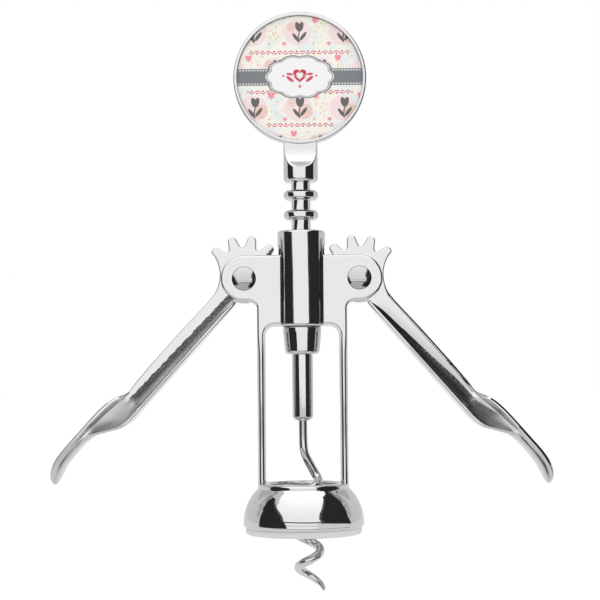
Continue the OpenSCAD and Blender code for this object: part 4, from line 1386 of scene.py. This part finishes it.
def steps_of(rows, count=6):
    """Fills in between rows, so that a card's straight edges stay straight in angle."""
    out = []
    for a, b in zip(rows, rows[1:]):
        out += [tuple(a[j] + (b[j] - a[j]) * k / count for j in range(3)) for k in range(count)]
    return out + [rows[-1]]


def glow_only(name, radiance):
    """A material that gives light of its own and mirrors none."""
    material = bpy.data.materials.new(name)
    material.use_nodes = True
    tree = material.node_tree
    tree.nodes.clear()
    glow = node(tree, "Emission", {"Strength": radiance})
    tree.links.new(glow.outputs[0], tree.nodes.new("ShaderNodeOutputMaterial").inputs["Surface"])
    return material


def card(name, rows, radiance, away=0.9):
    """A patch of a ball round the object, as (elevation, left azimuth, right azimuth) rows."""
    points = []
    for el, left, right in rows:
        tilt = math.radians(el)
        for k in range(CARD_ACROSS + 1):
            az = math.radians(left + (right - left) * k / CARD_ACROSS)
            way = Vector((math.sin(az) * math.cos(tilt), math.sin(tilt), math.cos(az) * math.cos(tilt)))
            points.append(way * away + Vector((0, 0, -CAMERA_AWAY)))
    row = CARD_ACROSS + 1
    faces = [[j * row + k, j * row + k + 1, (j + 1) * row + k + 1, (j + 1) * row + k]
             for j in range(len(rows) - 1) for k in range(CARD_ACROSS)]
    mesh = bpy.data.meshes.new(name)
    mesh.from_pydata(points, [], faces)
    mesh.materials.append(glow_only(name, radiance))
    piece = bpy.data.objects.new(name, mesh)
    scene.collection.objects.link(piece)
    piece.visible_camera = piece.visible_diffuse = piece.visible_shadow = False
    piece.visible_transmission = piece.visible_volume_scatter = False
    piece.parent = camera


# %% Hang the room and the front panels
# The room is the white beyond everything; it is a little brighter below than above
card("room", steps_of([(-6, -180, 180), (88, -180, 180)], 12), 0.74, 1.0)
card("low_panel", steps_of([(-89, -180, 180), (-5, -180, 180)], 12), 0.84, 0.98)
# The panel round the camera widens as it leans over the object, and its top brightens in steps
card("front_panel", steps_of([(-0.7, -60, 60), (12, -60, 60), (26, -62, 60), (44, -70, 70),
                              (66, -100, 105)]), 1.18)
TOP_EDGES = steps_of([(20, -60, 60), (44, -70, 70), (60, -90, 95), (84, -140, 140)], 3)
TOP_GLOW = (1.22, 1.27, 1.32, 1.37, 1.42, 1.47, 1.5, 1.5, 1.5)
for k, radiance in enumerate(TOP_GLOW):
    card(f"top_panel_{k}", TOP_EDGES[k:k + 2], radiance, 0.88)
print("room and", 2 + len(TOP_GLOW), "panels")

# %% Hang the black flags
# How near a flag stands decides how its stripe moves from one part to the next; the left one is close
FLAG_GLOW, LEFT_AWAY, RIGHT_AWAY = 0.028, 0.27, 0.6
card("left_flag", steps_of([(-20, -90, -30), (-12, -90, -32), (-4, -90, -37), (2, -90, -39.5),
                            (7, -90, -41.5), (16, -99, -51), (38, -97, -84)]), FLAG_GLOW, LEFT_AWAY)
card("right_flag", steps_of([(-34, 14, 100), (-14, 24, 100), (-12, 31, 101), (4, 33, 94), (10, 29, 94),
                             (22, 31.5, 101), (33, 40, 112), (41, 47, 125), (48, 56, 125), (58, 72, 120)]),
     FLAG_GLOW, RIGHT_AWAY)
# A grey fringe just in front of each flag's inner edge softens that edge
card("left_fringe", steps_of([(-4, -41, -37), (2, -44.5, -39.5), (7, -47, -41.5), (16, -57, -51),
                              (36, -88, -81)]), 0.12, LEFT_AWAY - 0.002)
card("right_fringe", steps_of([(-12, 31, 37), (4, 33, 39), (10, 29, 34), (22, 31.5, 37), (33, 40, 46),
                               (46, 54, 60)]), 0.10, RIGHT_AWAY - 0.002)
print("flags at", LEFT_AWAY, "and", RIGHT_AWAY, "m")

# %% Lay the table and the low cards
# Below the camera: a bright strip, the dark line of the table's edge, and the table itself
card("low_front", steps_of([(-10.5, -60, 60), (-3, -60, 60)]), 1.15)
card("table_line", steps_of([(-12.6, -60, 60), (-10.5, -60, 60)]), 0.12)
card("table", steps_of([(-45, -60, 60), (-12.6, -60, 60)]), 0.7)
# Two small cards close to the object, for the bell: a thin dark edge, and a light patch at its lower right
card("near_edge", steps_of([(-45.4, -29.5, 28.5), (-42.8, -29.5, 28.5)]), 0.04, 0.0888)
card("low_light", steps_of([(-54, 22, 106), (-48.6, 22, 106), (-46, 22, 85), (-43, 22, 65), (-40.5, 22, 45),
                            (-38.8, 22, 33)]), 0.85, 0.1)
# And a dimmer one high behind the object
card("high_back", steps_of([(20, 125, 235), (50, 115, 245), (80, 90, 270)]), 0.55, 0.86)
print("cards in all", len(camera.children))

# %% [markdown]
# ## The floor and the light
# A wide pale floor catches the soft shadow. It is kept out of reflections, where the table's card stands
# in for it, so that the two can be set apart. A white sky and one large soft lamp light the floor, the
# plastic and the print; the chrome mirrors the cards and hardly takes notice of them.

# %% Lay the floor
FLOOR_SIZE, FLOOR_DROP = 14, 0.0265                            # metres, and how far below the bell it lies
floor_z = cad_box[0][2] - FLOOR_DROP
bpy.ops.mesh.primitive_plane_add(size=FLOOR_SIZE, location=(0, 0, floor_z))
floor = bpy.context.object
floor.name = "studio_floor"
material, tree, shader, place = new_material("pale_floor")
shader.inputs["Roughness"].default_value = 0.9
spread = node(tree, "TexNoise", {"Scale": 40.0, "Detail": 4.0}, Vector=place)
two_tone(tree, shader, spread.outputs[0], (0.84, 0.84, 0.84), (0.86, 0.86, 0.86))
floor.visible_glossy = False
floor.data.materials.append(material)
print("floor at", round(floor_z / MM, 1), "mm")

# %% Switch on the light
world = bpy.data.worlds.new("white_room")
world.use_nodes = True
sky = world.node_tree.nodes["Background"]
sky.inputs["Color"].default_value = (1, 1, 1, 1)
sky.inputs["Strength"].default_value = 1.0
scene.world = world
lamp = bpy.data.lights.new("soft_top", "SUN")
lamp.energy, lamp.angle = 0.8, math.radians(60)
top = bpy.data.objects.new("soft_top", lamp)
top.rotation_euler = (math.radians(20), math.radians(10), 0)
top.visible_glossy = False
scene.collection.objects.link(top)
print("lamp", lamp.name, "at strength", round(lamp.energy, 2))

# %% [markdown]
# ## The size
# The box round the exact solids, taken before the looks were built, is printed.

# %% Print the box and close
print("cad box", cad_box)
